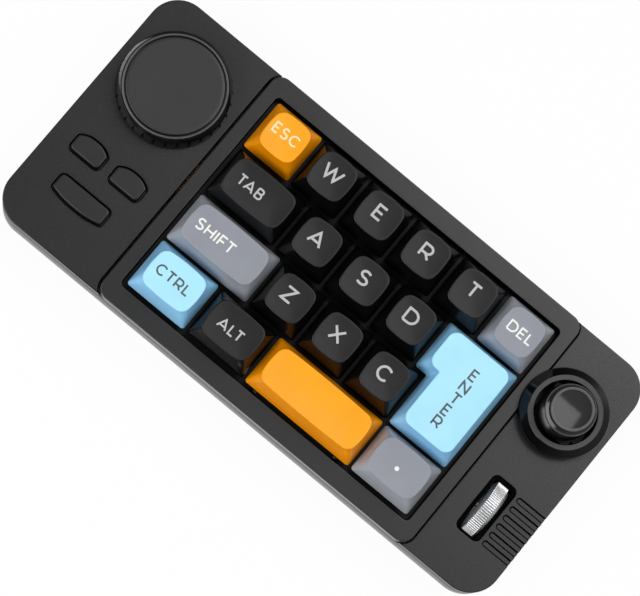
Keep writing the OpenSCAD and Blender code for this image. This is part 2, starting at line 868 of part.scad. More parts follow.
module joystick_cap() {
  rim_z = cover_z + stick_h;
  color("#3a3b3d") translate([stick_x, stick_y]) rotate_extrude($fn = 128) polygon([
    [post_radius + 0.03, dome_flat], [3.5, dome_flat], [3.5, rim_z - 4.3], [7.9, rim_z - 4.3],
    [8.25, rim_z - 3.9], [8.25, rim_z - 3.1], [7.9, rim_z - 2.7], [7.2, rim_z - 2.5],
    [7.05, rim_z - 0.5], [6.7, rim_z], [6.1, rim_z], [5.75, rim_z - 0.4],
    [3.5, rim_z - 0.85], [0, rim_z - 1],
    [0, dome_flat + 4.5], [post_radius + 0.03, dome_flat + 4.5]
  ]);
}

module joystick_spring() {
  color("silver") translate([stick_x, stick_y]) difference() {
    rod(3.2, side_board_z + 1.2, pivot_z - 3.2);
    rod(2.4, side_board_z, pivot_z);
  }
}

// ---- Scroll wheel ----

module along_axle() {
  translate([stick_x, wheel_y, axle_z]) rotate([0, 90, 0]) children();
}

module scroll_wheel() {
  color("#c9ccce") along_axle() difference() {
    union() {
      linear_extrude(tread_w, center = true) polygon(tread_outline);
      for (s = [0, 1]) mirror([0, 0, s]) translate([0, 0, tread_w / 2])
        cylinder(r1 = wheel_r - rib_h - 0.1, r2 = wheel_edge_r, h = wheel_half - tread_w / 2);
    }
    cylinder(r = axle_r, h = 2 * wheel_half + 1, center = true);
  }
}

module wheel_axle() {
  color("silver") along_axle() cylinder(r = axle_r, h = 15, center = true);
}

module wheel_cradle() {
  color("#26282b") difference() {
    translate([stick_x, wheel_y]) for (s = [-1, 1]) {
      translate([s * (cradle_in + cradle_t / 2), 0]) slab(cradle_t, 7, floor_z, cradle_top);
      translate([s * (cradle_in + 2.2), 0]) slab(3.4, 16, floor_z, floor_z + 1.4);
    }
    along_axle() cylinder(r = axle_r + 0.05, h = 30, center = true);
  }
}

module wheel_encoder() {
  color("#3b5f49") difference() {
    translate([stick_x + 7.4, wheel_y]) slab(3.6, 9, floor_z + 1.4, cradle_top);
    along_axle() cylinder(r = axle_r + 0.05, h = 30, center = true);
  }
}

bottom_case();
centre_frame();
left_cover();
right_cover();
switch_plate();
main_board();
left_board();
right_board();
link_flexes();
board_chips();
cable_socket();
switch_housings();
switch_springs();
stabiliser_clips();
space_wire();
enter_wire();
key_esc();
key_w();
key_e();
key_r();
key_t();
key_del();
key_tab();
key_a();
key_s();
key_d();
key_enter();
key_shift();
key_z();
key_x();
key_c();
key_ctrl();
key_alt();
key_space();
key_dot();
knob_skirt();
knob_disc();
encoder_shaft();
encoder_body();
encoder_nut();
button_left();
button_right();
button_wide();
tact_switches();
joystick_collar();
joystick_housing();
joystick_gimbal();
joystick_shaft();
joystick_dome();
joystick_cap();
joystick_spring();
scroll_wheel();
wheel_axle();
wheel_cradle();
wheel_encoder();
case_screws();
rubber_feet();
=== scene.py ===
# %% [markdown]
# # A macro keypad in Blender
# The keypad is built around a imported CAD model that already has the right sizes, places
# and joints. This lesson gives each part that shows the soft edges, dished keycaps, cut
# grooves and plastics that plain CAD solids lack, and it leaves the hidden parts as they are.

# %% Load the CAD model
import json
import math

import bmesh
import bpy
from mathutils import Matrix, Vector
from mathutils.geometry import tessellate_polygon


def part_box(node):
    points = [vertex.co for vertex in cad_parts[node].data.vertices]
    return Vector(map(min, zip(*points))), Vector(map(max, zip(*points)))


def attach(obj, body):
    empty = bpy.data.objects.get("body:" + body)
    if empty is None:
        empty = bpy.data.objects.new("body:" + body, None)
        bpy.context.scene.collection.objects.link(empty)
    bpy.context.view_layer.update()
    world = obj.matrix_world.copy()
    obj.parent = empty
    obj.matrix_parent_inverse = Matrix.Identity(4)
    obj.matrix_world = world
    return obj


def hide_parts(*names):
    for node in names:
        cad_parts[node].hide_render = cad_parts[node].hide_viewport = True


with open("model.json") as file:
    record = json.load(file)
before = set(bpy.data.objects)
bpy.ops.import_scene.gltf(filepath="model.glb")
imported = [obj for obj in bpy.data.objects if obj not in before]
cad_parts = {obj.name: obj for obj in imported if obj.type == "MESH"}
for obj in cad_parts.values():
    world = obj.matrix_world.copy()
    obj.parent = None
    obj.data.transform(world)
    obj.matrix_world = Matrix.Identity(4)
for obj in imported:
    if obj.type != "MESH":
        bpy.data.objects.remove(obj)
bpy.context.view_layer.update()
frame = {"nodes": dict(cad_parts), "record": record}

MM = 0.001

# %% [markdown]
# Every size below comes from the boxes of the CAD nodes, read in millimetres. A piece that
# takes its place from its own CAD node can't drift away from the part that carries it.


# %% Read sizes from the CAD nodes
def span(node):
    """The lowest and highest corner of a CAD node, in millimetres."""
    low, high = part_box(node)
    return low / MM, high / MM


def middle(node):
    low, high = span(node)
    return (low + high) / 2


CASE_LOW, CASE_HIGH = span("bottom_case")
FRAME_LOW, FRAME_HIGH = span("centre_frame")
CASE_W = CASE_HIGH.x - CASE_LOW.x
CASE_D = CASE_HIGH.y - CASE_LOW.y
SEAM_Z = CASE_HIGH.z
COVER_Z = span("left_cover")[1].z
FRAME_Z = FRAME_HIGH.z
CASE_R = 10.5
FRAME_R = 4.2
print("case", round(CASE_W, 1), "by", round(CASE_D, 1), "seam at", round(SEAM_Z, 2))

# %% [markdown]
# ## Outlines
# Most of the keypad is made of flat plates with round corners, so the first helpers draw
# outlines: arcs, rectangles with round corners, and an outline moved sideways. Each outline
# runs with its material on the left, anticlockwise outside and clockwise round a hole.


# %% Outlines
def arc(x, y, r, start, end, steps):
    """Points on an arc between two angles in degrees."""
    turns = [math.radians(start + (end - start) * i / steps) for i in range(steps + 1)]
    return [(x + r * math.cos(a), y + r * math.sin(a)) for a in turns]


def round_rect(width, depth, r, x=0.0, y=0.0, steps=10):
    cx, cy = width / 2 - r, depth / 2 - r
    corners = ((cx, cy, 0), (-cx, cy, 90), (-cx, -cy, 180), (cx, -cy, 270))
    return [p for dx, dy, a in corners for p in arc(x + dx, y + dy, r, a, a + 90, steps)]


def moved(loop, distance, mitre=1.5):
    """The outline moved to its left, with sharp corners held back to the mitre's length."""
    points = [Vector(p) for p in loop]
    out = []
    for i, here in enumerate(points):
        into = (here - points[i - 1]).normalized()
        away = (points[(i + 1) % len(points)] - here).normalized()
        both = Vector((-into.y - away.y, into.x + away.x))
        reach = min(2 / max(both.length, 0.01), mitre)
        out.append(here + both.normalized() * reach * distance)
    return [(p.x, p.y) for p in out]


def at(loop, z):
    return [(x, y, z) for x, y in loop]


# %% [markdown]
# ## One class for every mesh
# A mesh is a list of points and a list of faces. `Shape` collects both for one piece. Its
# `loft` joins rings that have the same number of points, which makes walls, lathe turnings and
# keycaps alike, and `plate` makes a flat plate with holes whose rims are rounded. A bevel
# modifier could round the rims too, but rings put the same soft edge on every outline.


# %% The mesh builder
class Shape:
    """Points and faces of one piece, in millimetres."""

    def __init__(self):
        self.points, self.faces, self.finishes = [], [], []

    def add(self, points, faces, finish):
        first = len(self.points)
        self.points += points
        self.faces += [[first + i for i in face] for face in faces]
        self.finishes += finish if isinstance(finish, list) else [finish] * len(faces)

    def loft(self, rings, finish=0, ends=True, joined=False):
        """Joins rings of points. ends closes both ends, and joined makes it a closed hoop.

        finish is the number of a finish, or a function of (level, place along the ring)."""
        count, levels = len(rings[0]), len(rings)
        pick = finish if callable(finish) else lambda level, i: finish
        faces, picked = [], []
        for k in range(levels if joined else levels - 1):
            low, high = k * count, (k + 1) % levels * count
            for i in range(count):
                j = (i + 1) % count
                faces.append((low + i, low + j, high + j, high + i))
                picked.append(pick(k, i))
        if ends and not joined:
            faces.append(list(range(count))[::-1])
            faces.append([(levels - 1) * count + i for i in range(count)])
            picked += [pick(-1, 0), pick(levels - 1, 0)]
        self.add([p for ring in rings for p in ring], faces, picked)
        return self

    def lathe(self, profile, x, y, finish=0, steps=128, joined=False):
        """Turns a profile of (radius, height) pairs about an upright axis."""
        rings = [at(arc(x, y, r, 0, 360 - 360 / steps, steps - 1), z) for r, z in profile]
        return self.loft(rings, finish, joined=joined)

    def plate(self, outer, holes, low, high, edge, foot=0.15, steps=3, bore=0):
        """A flat plate with holes, with rims rounded by edge on top and foot underneath.

        bore is the finish of the holes' walls."""
        # The outermost and innermost rings lie flat, so that the flat faces shade flat
        turns = [math.pi / 2 * i / steps for i in range(steps + 1)]
        profile = [(foot + 0.1, low)]
        profile += [(foot * (1 - math.sin(a)), low + foot * (1 - math.cos(a))) for a in turns]
        profile += [(edge * (1 - math.cos(a)), high - edge * (1 - math.sin(a))) for a in turns]
        profile.append((edge + 0.1, high))
        loops = [outer] + [hole[::-1] for hole in holes]
        rings = [[at(moved(loop, inset), z) for inset, z in profile] for loop in loops]
        wall_top = len(profile) - 1 - steps // 2
        for k, loop_rings in enumerate(rings):
            wall = bore if k else 0
            self.loft(loop_rings, lambda level, _: wall if level < wall_top else 0, ends=False)
        for level, flip in ((-1, False), (0, True)):
            rims = [[Vector(p) for p in loop_rings[level]] for loop_rings in rings]
            faces = [tuple(reversed(f)) if flip else f for f in tessellate_polygon(rims)]
            self.add([tuple(p) for rim in rims for p in rim], faces, 0)
        return self

    def block(self, width, depth, r, low, high, x=0.0, y=0.0, edge=0.12, finish=0):
        """A box with round corners and softened rims."""
        levels = ((low, edge), (low + edge, 0), (high - edge, 0), (high, edge))
        rings = [at(round_rect(width - 2 * i, depth - 2 * i, r, x, y, 3), z) for z, i in levels]
        return self.loft(rings, finish)

    def mesh(self, name):
        made = bpy.data.meshes.new(name)
        made.from_pydata([tuple(Vector(p) * MM) for p in self.points], [], self.faces)
        made.polygons.foreach_set("material_index", self.finishes)
        return made


# %% [markdown]
# A piece is a mesh in its place, on a body. `make` cuts other shapes out of it with a Boolean,
# welds and orients the result, smooths it wherever faces meet at a gentle angle, hangs it on its
# body's empty and hides the CAD node that it stands for. The slot names the material in the CAD
# record, and is the node's own one unless another is given.


# %% From a shape to a piece
def new_object(name, mesh):
    made = bpy.data.objects.new(name, mesh)
    bpy.context.scene.collection.objects.link(made)
    return made


def baked(piece):
    """The piece's mesh with its modifiers applied."""
    graph = bpy.context.evaluated_depsgraph_get()
    mesh = bpy.data.meshes.new_from_object(piece.evaluated_get(graph))
    piece.modifiers.clear()
    return mesh


def tidy(mesh):
    work = bmesh.new()
    work.from_mesh(mesh)
    bmesh.ops.remove_doubles(work, verts=work.verts, dist=0.0005 * MM)
    bmesh.ops.recalc_face_normals(work, faces=work.faces)
    work.to_mesh(mesh)
    work.free()


slot_of = {part["node"]: part["material_slot"] for part in frame["record"]["subparts"]}


def finished_object(name, shape, finishes):
    made = new_object(name, shape.mesh(name))
    for finish in finishes:
        made.data.materials.append(finish)
    tidy(made.data)
    return made


def make(name, shape, body, finishes, node=None, cuts=None, slot=None, smooth=32):
    piece = finished_object(name, shape, finishes)
    if cuts:
        cutter = finished_object(name + "_cuts", cuts, finishes)
        trim = piece.modifiers.new("cuts", "BOOLEAN")
        trim.operation = "DIFFERENCE"
        trim.solver = "EXACT"
        trim.object = cutter
        piece.data = baked(piece)
        bpy.data.objects.remove(cutter)
        tidy(piece.data)
    piece.data.polygons.foreach_set("use_smooth", [True] * len(piece.data.polygons))
    piece.data.set_sharp_from_angle(angle=math.radians(smooth))
    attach(piece, body)
    slot = slot or slot_of.get(node)
    if node:
        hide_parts(node)


print("material slots:", len(set(slot_of.values())))

# %% [markdown]
# ## Materials
# Shader maths is easier to read as arithmetic. `Value` wraps a node's output, so that
# `0.3 + 0.1 * grain` adds the Math nodes by itself. `Finish` makes one material, and its
# `node` method adds any other node: settings first, then what goes into its sockets.


# %% Shader arithmetic
class Value:
    """A node output that takes part in sums."""

    def __init__(self, finish, socket):
        self.finish, self.socket = finish, socket

    def maths(self, operation, *values):
        return self.finish.node("Math", {"operation": operation}, dict(enumerate(values)))

    def __add__(self, other):
        return self.maths("ADD", self, other)

    def __sub__(self, other):
        return self.maths("SUBTRACT", self, other)

    def __rsub__(self, other):
        return self.maths("SUBTRACT", other, self)

    def __mul__(self, other):
        return self.maths("MULTIPLY", self, other)

    def __pow__(self, other):
        return self.maths("POWER", self, other)

    __radd__ = __add__
    __rmul__ = __mul__


class Finish:
    """One material, with its shader."""

    def __init__(self, name, **constants):
        self.data = bpy.data.materials.new(name)
        self.data.use_nodes = True
        self.tree = self.data.node_tree
        self.shader = self.tree.nodes["Principled BSDF"]
        self.set(**constants)

    def set(self, **sockets):
        """Gives the shader's sockets numbers, colours or links, and returns the material."""
        for name, value in sockets.items():
            words = [w if w == "IOR" else w.capitalize() for w in name.split("_")]
            self.join(self.shader.inputs[" ".join(words)], value)
        return self.data

    def join(self, socket, value):
        if isinstance(value, Value):
            self.tree.links.new(value.socket, socket)
        elif hasattr(value, "__len__") and len(value) == 3 and socket.type == "RGBA":
            socket.default_value = (*value, 1)
        else:
            socket.default_value = value

    def node(self, kind, settings=None, inputs=None, output=0):
        made = self.tree.nodes.new("ShaderNode" + kind)
        for name, value in (settings or {}).items():
            setattr(made, name, value)
        for name, value in (inputs or {}).items():
            self.join(made.inputs[name], value)
        return Value(self, made.outputs[output])

    def place(self):
        """Where a point lies on the piece, in metres."""
        return self.node("TexCoord", output="Object")

    def noise(self, size, detail=3.0, at_point=None):
        """Soft noise whose blotches are about size millimetres across."""
        sockets = {"Vector": at_point or self.place(), "Scale": 1 / (size * MM), "Detail": detail}
        return self.node("TexNoise", inputs=sockets)

    def blend(self, share, low, high):
        """A colour between two colours."""
        return self.node("Mix", {"data_type": "RGBA"}, {0: share, 6: low, 7: high}, output=2)

    def stretch(self, value, low, high):
        """Maps low..high smoothly to 0..1 and holds it there outside."""
        return self.node("MapRange", {"interpolation_type": "SMOOTHSTEP"},
                         {0: value, 1: low, 2: high, 3: 0.0, 4: 1.0})

    def bump(self, height, depth):
        """Normals of a relief that is depth millimetres deep."""
        sockets = {"Strength": 1.0, "Distance": depth * MM, "Height": height}
        return self.node("Bump", inputs=sockets, output="Normal")

    def up(self):
        """How far the surface faces up: 1 on a top, 0 on an upright wall."""
        normal = self.node("TexCoord", output="Normal")
        return self.node("SeparateXYZ", inputs={0: normal}, output="Z")


def scaled(colour, factor, lift=0.0):
    """A darker or lighter shade of a colour."""
    return tuple(c * factor + lift for c in colour)


print("a darker grey:", scaled((0.5, 0.5, 0.5), 0.9))

# %% [markdown]
# The case is one dark plastic with the fine grain that a sparked mould leaves. Two noises
# make it: one of a quarter of a millimetre for the grain's relief, and one of a few
# centimetres that changes colour and gloss so slightly that it only breaks up flat areas.


# %% Grained plastic
def grained_plastic(name, colour, roughness, grain=0.22, depth=0.006, shift=0.12, ior=1.5):
    finish = Finish(name, IOR=ior)
    cloud = finish.noise(35, 2)
    fine = finish.noise(grain, 4)
    tone = finish.stretch(cloud + 0.35 * fine, 0.4, 0.95)
    return finish.set(
        base_color=finish.blend(tone, scaled(colour, 1 - shift), scaled(colour, 1 + shift)),
        roughness=roughness - 0.05 + 0.1 * finish.stretch(fine, 0.3, 0.7),
        normal=finish.bump(fine, depth),
    )


CASE_GREY = (0.0125, 0.0125, 0.013)
case_plastic = grained_plastic("charcoal_case_plastic", CASE_GREY, 0.3)
button_plastic = grained_plastic("charcoal_button_plastic", CASE_GREY, 0.32)
knob_disc_plastic = grained_plastic("knob_disc_plastic", (0.022, 0.022, 0.0225), 0.36, 0.16)
knob_ring_plastic = grained_plastic("knob_ring_plastic", (0.07, 0.07, 0.071), 0.34, 0.16)
print("case finishes:", case_plastic.name, button_plastic.name, knob_disc_plastic.name)


# %% [markdown]
# Keycaps are shot in a glossier plastic. Their sides keep the mould's polish while the
# dished tops are blasted to a satin finish, so roughness follows how far a point faces up.
# Each look is the colour of the top and then the colour of the sides, and the difference is
# painted light: the tones blend by how far a point faces up, as the lamps would light them.


# %% Keycap plastic
SIDE_ROUGH, TOP_ROUGH = 0.16, 0.38


def keycap_plastic(name, lit_top_colour, lit_side_colour):
    finish = Finish(name, IOR=1.42)
    fine = finish.noise(0.18, 3)
    cloud = finish.noise(9, 2)
    top = finish.stretch(finish.up(), 0.75, 0.97)
    tone = finish.stretch(cloud + 0.2 * fine, 0.35, 0.85)
    # Painted light and shade: the colour moves from the sides' lit tone to the top's lit tone.
    plain = finish.blend(top, lit_side_colour, lit_top_colour)
    return finish.set(
        base_color=finish.blend(0.06 * tone, plain, (0.0, 0.0, 0.0)),
        roughness=SIDE_ROUGH + (TOP_ROUGH - SIDE_ROUGH) * top + 0.04 * fine,
        normal=finish.bump(fine, 0.003),
    )


# Top tone and side tone of each colour, whose difference is painted light and shade.
CAP_LIT_TONES = {
    "orange": ((1.0, 0.40, 0.003), (1.0, 0.33, 0.001)),
    "blue": ((0.43, 0.83, 1.0), (0.31, 0.67, 1.0)),
    "grey": ((0.285, 0.30, 0.34), (0.38, 0.40, 0.44)),
    "black": ((0.0075, 0.0075, 0.008), (0.004, 0.004, 0.0045)),
}
cap_plastic = {name: keycap_plastic("keycap_" + name, *look) for name, look in CAP_LIT_TONES.items()}
print("keycap colours:", ", ".join(cap_plastic))


# %% [markdown]
# Legends are a second shot of plastic, level with the cap. Four tones are used: light grey on
# black caps, cream on the orange one, white on grey ones, and dark grey on blue ones.


# %% Legend plastic
def legend_plastic(name, colour):
    finish = Finish(name, IOR=1.5)
    fine = finish.noise(0.2, 3)
    return finish.set(base_color=finish.blend(fine, scaled(colour, 0.9), colour),
                      roughness=0.38 + 0.08 * fine)


LEGEND_TONE = {
    "black": legend_plastic("legend_light_grey", (0.52, 0.52, 0.52)),
    "orange": legend_plastic("legend_cream", (0.97, 0.85, 0.52)),
    "grey": legend_plastic("legend_white", (0.93, 0.92, 0.88)),
    "blue": legend_plastic("legend_dark_grey", (0.085, 0.095, 0.11)),
}
print("legend tones:", ", ".join(tone.name for tone in LEGEND_TONE.values()))


# %% [markdown]
# The knob's skirt and the joystick's collar are polished plastic: nearly black by themselves,
# and lit only by what they mirror. A long, faint waviness and a few rubbed patches keep the
# reflection from looking like perfect glass.


# %% Polished plastic
def polished_plastic(name, colour, roughness):
    finish = Finish(name, IOR=1.52)
    waves = finish.noise(6, 2)
    rubbed = finish.stretch(finish.noise(14, 5), 0.5, 0.72)
    return finish.set(
        base_color=finish.blend(rubbed, colour, scaled(colour, 1.25)),
        roughness=roughness + 0.05 * rubbed + 0.02 * waves,
        normal=finish.bump(waves, 0.004),
    )


knob_gloss = polished_plastic("knob_skirt_gloss", (0.004, 0.004, 0.0042), 0.12)
collar_gloss = polished_plastic("joystick_collar_gloss", (0.0012, 0.0012, 0.0013), 0.06)
dome_gloss = polished_plastic("joystick_dome_gloss", (0.003, 0.003, 0.0031), 0.2)
stick_ring_satin = grained_plastic("joystick_ring_satin", (0.024, 0.024, 0.0245), 0.3, 0.16)
stick_face_gloss = polished_plastic("joystick_cap_gloss", (0.013, 0.013, 0.0133), 0.11)
print("polished plastics ready")


# %% [markdown]
# Metals need colour from reflection alone. Fine lines along the turning direction make the
# roughness uneven, as on turned or stamped parts.


# %% Metals, rubber and boards
def metal(name, colour, roughness, streak=0.3):
    finish = Finish(name, Metallic=1.0)
    lines = finish.node("Mapping", inputs={"Vector": finish.place(), "Scale": (1.0, 1.0, 14.0)})
    grain = finish.noise(streak, 4, lines)
    smudge = finish.noise(7, 3)
    return finish.set(
        base_color=finish.blend(smudge, scaled(colour, 0.88), colour),
        roughness=roughness - 0.06 + 0.14 * grain,
        normal=finish.bump(grain, 0.002),
    )


def soft_rubber(name, colour, roughness):
    finish = Finish(name, IOR=1.48)
    grain = finish.noise(0.3, 5)
    dust = finish.stretch(finish.noise(4, 4), 0.55, 0.75)
    return finish.set(
        base_color=finish.blend(0.5 * dust, colour, scaled(colour, 1.6, 0.004)),
        roughness=roughness + 0.1 * grain,
        normal=finish.bump(grain, 0.01),
    )


def solder_mask(name, colour):
    """A board: dark lacquer with copper tracks that show through as paler lanes."""
    finish = Finish(name, IOR=1.5)
    cells = finish.node("TexVoronoi", {"feature": "DISTANCE_TO_EDGE", "distance": "CHEBYCHEV"},
                        {"Vector": finish.place(), "Scale": 1 / (2.4 * MM)})
    tracks = 1 - finish.stretch(cells, 0.05, 0.11)
    return finish.set(
        base_color=finish.blend(0.6 * tracks, colour, scaled(colour, 1.9, 0.01)),
        roughness=0.3 + 0.1 * finish.noise(3, 3),
        normal=finish.bump(tracks, 0.02),
    )


plate_metal = metal("switch_plate_metal", (0.035, 0.035, 0.036), 0.5)
steel = metal("bright_steel", (0.62, 0.62, 0.64), 0.3)
wheel_metal = metal("scroll_wheel_metal", (0.9, 0.91, 0.92), 0.38, 0.15)
# Painted shade: a darker metal for the valleys between the wheel's ribs.
wheel_valley_shade = metal("scroll_wheel_valleys", (0.26, 0.26, 0.265), 0.5, 0.15)
stick_rubber = soft_rubber("joystick_cap_rubber", (0.045, 0.045, 0.046), 0.42)
foot_rubber = soft_rubber("foot_rubber", (0.014, 0.014, 0.014), 0.7)
board_green = solder_mask("board_lacquer", (0.01, 0.05, 0.03))
# Painted shade: a black without sheen, for hole walls, groove channels and the wheel's slot.
painted_shade_black = grained_plastic("wheel_slot_black", (0.001, 0.001, 0.001), 0.6, 0.3, ior=1.1)
switch_black = grained_plastic("switch_housing_plastic", (0.012, 0.012, 0.013), 0.45, 0.3)
slider_red = grained_plastic("switch_slider_plastic", (0.30, 0.03, 0.02), 0.35, 0.3)
gimbal_cream = grained_plastic("bearing_plastic", (0.62, 0.58, 0.48), 0.4, 0.3)
flex_amber = grained_plastic("flat_cable_film", (0.42, 0.16, 0.03), 0.25, 0.5)
chip_black = grained_plastic("chip_package", (0.01, 0.01, 0.011), 0.6, 0.12)
print("inner finishes ready")

# %% [markdown]
# The CAD nodes that keep their own mesh get their finish through the record's slots.

# %% Finish the CAD nodes
SLOT_FINISH = {
    "case_plastic": case_plastic, "plate_metal": plate_metal, "board": board_green,
    "flex": flex_amber, "chip": chip_black, "steel": steel, "switch_plastic": switch_black,
    "knob_gloss": knob_gloss, "knob_matte": knob_disc_plastic, "button_plastic": button_plastic,
    "collar_gloss": collar_gloss, "gimbal_plastic": gimbal_cream, "stick_dome": dome_gloss,
    "stick_rubber": stick_rubber, "wheel_metal": wheel_metal, "foot_rubber": foot_rubber,
    "cap_orange": cap_plastic["orange"], "cap_blue": cap_plastic["blue"],
    "cap_grey": cap_plastic["grey"], "cap_black": cap_plastic["black"],
}
for node, piece in frame["nodes"].items():
    piece.data.materials.clear()
    piece.data.materials.append(SLOT_FINISH[slot_of[node]])
    piece.data.set_sharp_from_angle(angle=math.radians(32))
print("finished", len(frame["nodes"]), "CAD nodes")

# %% [markdown]
# ## The case
# The tray is one loft: up round the outside from the rounded bottom edge, over the rim, and
# down the inside to the floor. The screws' seats, the feet's recesses, the room for the wheel
# and the window for the cable socket are cut out afterwards.

# %% The tray
WALL, FLOOR = 2.0, 2.0
BOTTOM_R = 1.4
RIM = 0.25


def tray_shape():
    def ring(inset, z):
        r = max(CASE_R - inset, 0.5)
        return at(round_rect(CASE_W - 2 * inset, CASE_D - 2 * inset, r, steps=16), z)

    low = CASE_LOW.z
    turns = [math.pi / 2 * i / 5 for i in range(6)]
    rings = [ring(BOTTOM_R * (1 - math.sin(a)), low + BOTTOM_R * (1 - math.cos(a))) for a in turns]
    rings += [ring(0, SEAM_Z - RIM), ring(RIM / 3, SEAM_Z - RIM / 3), ring(RIM, SEAM_Z)]
    rings += [ring(WALL - 0.2, SEAM_Z), ring(WALL, SEAM_Z - 0.2), ring(WALL, low + FLOOR)]
    return Shape().loft(rings)


def screw_places(points):
    """The middles of the screws, from the lowest points of their heads."""
    floor = min(p.z for p in points)
    rims = [p for p in points if p.z < floor + 0.01]
    places = []
    for p in rims:
        near = [q for q in rims if (q.xy - p.xy).length < 5]
        xs, ys = [q.x for q in near], [q.y for q in near]
        place = (round((min(xs) + max(xs)) / 2, 1), round((min(ys) + max(ys)) / 2, 1))
        if place not in places:
            places.append(place)
    return places


screws = screw_places([v.co / MM for v in frame["nodes"]["case_screws"].data.vertices])
print("screws:", len(screws))

# %% Cut the tray
HEAD_R, HEAD_DEPTH = 2.6, 1.8
SHAFT_R, SHAFT_DEPTH = 1.3, 4
PAD_R, PAD_SEAT_R = 5, 5.1
WINDOW = (9.3, 6, 1.3, 9.6, 13.2)
WHEEL_ROOM = (10.4, 3.4)
wheel = middle("scroll_wheel")


def along_axle(r, half, steps=96):
    """Two rings round the wheel's axle, which loft to a cylinder."""
    turns = [2 * math.pi * i / steps for i in range(steps)]
    return [[(wheel.x + s * half, wheel.y + r * math.cos(a), wheel.z + r * math.sin(a))
             for a in turns] for s in (-1, 1)]


def tray_cuts():
    cuts = Shape()
    low = CASE_LOW.z
    for x, y in screws:
        cuts.lathe([(HEAD_R, 0), (HEAD_R, low + HEAD_DEPTH), (SHAFT_R, low + HEAD_DEPTH + 0.01),
                    (SHAFT_R, low + SHAFT_DEPTH)], x, y, steps=32)
    pad_low, pad_high = span("rubber_feet")
    for x in (pad_low.x + PAD_R, pad_high.x - PAD_R):
        for y in (pad_low.y + PAD_R, pad_high.y - PAD_R):
            cuts.lathe([(PAD_SEAT_R, 0), (PAD_SEAT_R, pad_high.z)], x, y, steps=64)
    cuts.block(*WINDOW, middle("cable_socket").x, CASE_HIGH.y, edge=0.01)
    return cuts.loft(along_axle(*WHEEL_ROOM, 64))


make("case_tray", tray_shape(), "case", [case_plastic], "bottom_case", tray_cuts())
print("tray cut for", len(screws), "screws, 4 feet, the socket and the wheel")

# %% [markdown]
# ## The centre frame and the side covers
# The frame stands higher than the covers, and the covers wrap round its corners. So a cover's
# outline is the case's outline up to the frame, and then the frame's own corner, a little
# bigger, back again. The seam is the gap that is left between the two.

# %% The centre frame
KEY_NAMES = ["esc", "w", "e", "r", "t", "del", "tab", "a", "s", "d", "enter", "shift",
             "z", "x", "c", "ctrl", "alt", "space", "dot"]
PITCH = 19.05
CAP_GAP = 0.96
caps = [span("key_" + k) for k in KEY_NAMES]
grid_left = min(low.x for low, _ in caps) - CAP_GAP / 2
grid_right = max(high.x for _, high in caps) + CAP_GAP / 2
grid_front = min(low.y for low, _ in caps) - CAP_GAP / 2
OPENING_SIDE, OPENING_END, OPENING_R = 0.96, 0.83, 1.5
FRAME_EDGE, COVER_EDGE = 0.3, 0.35
collar = middle("joystick_collar")
collar_r = (span("joystick_collar")[1].x - span("joystick_collar")[0].x) / 2
COLLAR_ROOM = 0.15


def centre_frame_shape():
    width = FRAME_HIGH.x - FRAME_LOW.x
    outer = round_rect(width, CASE_D, FRAME_R, (FRAME_LOW.x + FRAME_HIGH.x) / 2)
    opening = round_rect(grid_right - grid_left + 2 * OPENING_SIDE,
                         -2 * grid_front + 2 * OPENING_END,
                         OPENING_R, (grid_left + grid_right) / 2)
    return Shape().plate(outer, [opening], FRAME_LOW.z, FRAME_Z, FRAME_EDGE, steps=4, bore=1)


bite_r = collar_r + COLLAR_ROOM
bite = Shape().lathe([(bite_r, COVER_Z), (bite_r, FRAME_Z + 1)], collar.x, collar.y)
# The opening's wall takes the sheenless black, as painted shade.
make("frame_top", centre_frame_shape(), "case", [case_plastic, painted_shade_black], "centre_frame", bite)
print("key grid", round(grid_left, 2), "to", round(grid_right, 2))

# %% Outlines of the side covers
LEFT_SEAM, RIGHT_SEAM = 0.8, 0.45


def cover_outline(side, gap):
    """The outline of the left (-1) or right (1) cover, round the frame's corners."""
    edge = FRAME_LOW.x if side < 0 else FRAME_HIGH.x
    bend_x = edge - side * FRAME_R
    bend_y = CASE_D / 2 - FRAME_R
    bend_r = FRAME_R + gap
    meet = math.degrees(math.asin(FRAME_R / bend_r))
    outer_x, outer_y = CASE_W / 2 - CASE_R, CASE_D / 2 - CASE_R
    loop = arc(outer_x, outer_y, CASE_R, 0, 90, 16)
    loop += arc(bend_x * side, bend_y, bend_r, meet, 0, 8)
    loop += arc(bend_x * side, -bend_y, bend_r, 0, -meet, 8)
    loop += arc(outer_x, -outer_y, CASE_R, -90, 0, 16)
    return loop if side > 0 else [(-x, y) for x, y in reversed(loop)]


print("cover outline has", len(cover_outline(-1, LEFT_SEAM)), "points")

# %% [markdown]
# The buttons' holes are round rectangles with one bowed edge. Such an outline is easy to state
# as a distance: a point is inside where it is inside both the rectangle and a big circle. The
# outline is then found along rays from the middle, and `melt` rounds the corners between both.

# %% Outlines of the buttons
PAIR_HOLE = (12.3, 7.95, 9.8, 1)
WIDE_HOLE = (20.3, 7.8, 34.0, -1)
HOLE_R = 1.9


def bowed_rect(width, depth, bow, side, x, y, melt=0.5, steps=120):
    """A round rectangle whose back (side 1) or front (side -1) edge bows out."""
    def outside(px, py):
        dx, dy = abs(px) - width / 2 + HOLE_R, abs(py) - depth / 2 + HOLE_R
        box = math.hypot(max(dx, 0), max(dy, 0)) + min(max(dx, dy), 0) - HOLE_R
        ball = math.hypot(px, py - side * (depth / 2 - bow)) - bow
        near = max(melt - abs(box - ball), 0) / melt
        return max(box, ball) + near * near * melt / 4

    points = []
    for i in range(steps):
        a = 2 * math.pi * i / steps
        inner, outer = 0.0, width
        while outer - inner > 0.001:
            half = (inner + outer) / 2
            if outside(half * math.cos(a), half * math.sin(a)) < 0:
                inner = half
            else:
                outer = half
        points.append((x + inner * math.cos(a), y + inner * math.sin(a)))
    return points


holes = {}
for name in ("left", "right", "wide"):
    spot = middle("button_" + name)
    holes[name] = bowed_rect(*(WIDE_HOLE if name == "wide" else PAIR_HOLE), spot.x, spot.y)
print("button holes:", {name: len(loop) for name, loop in holes.items()})

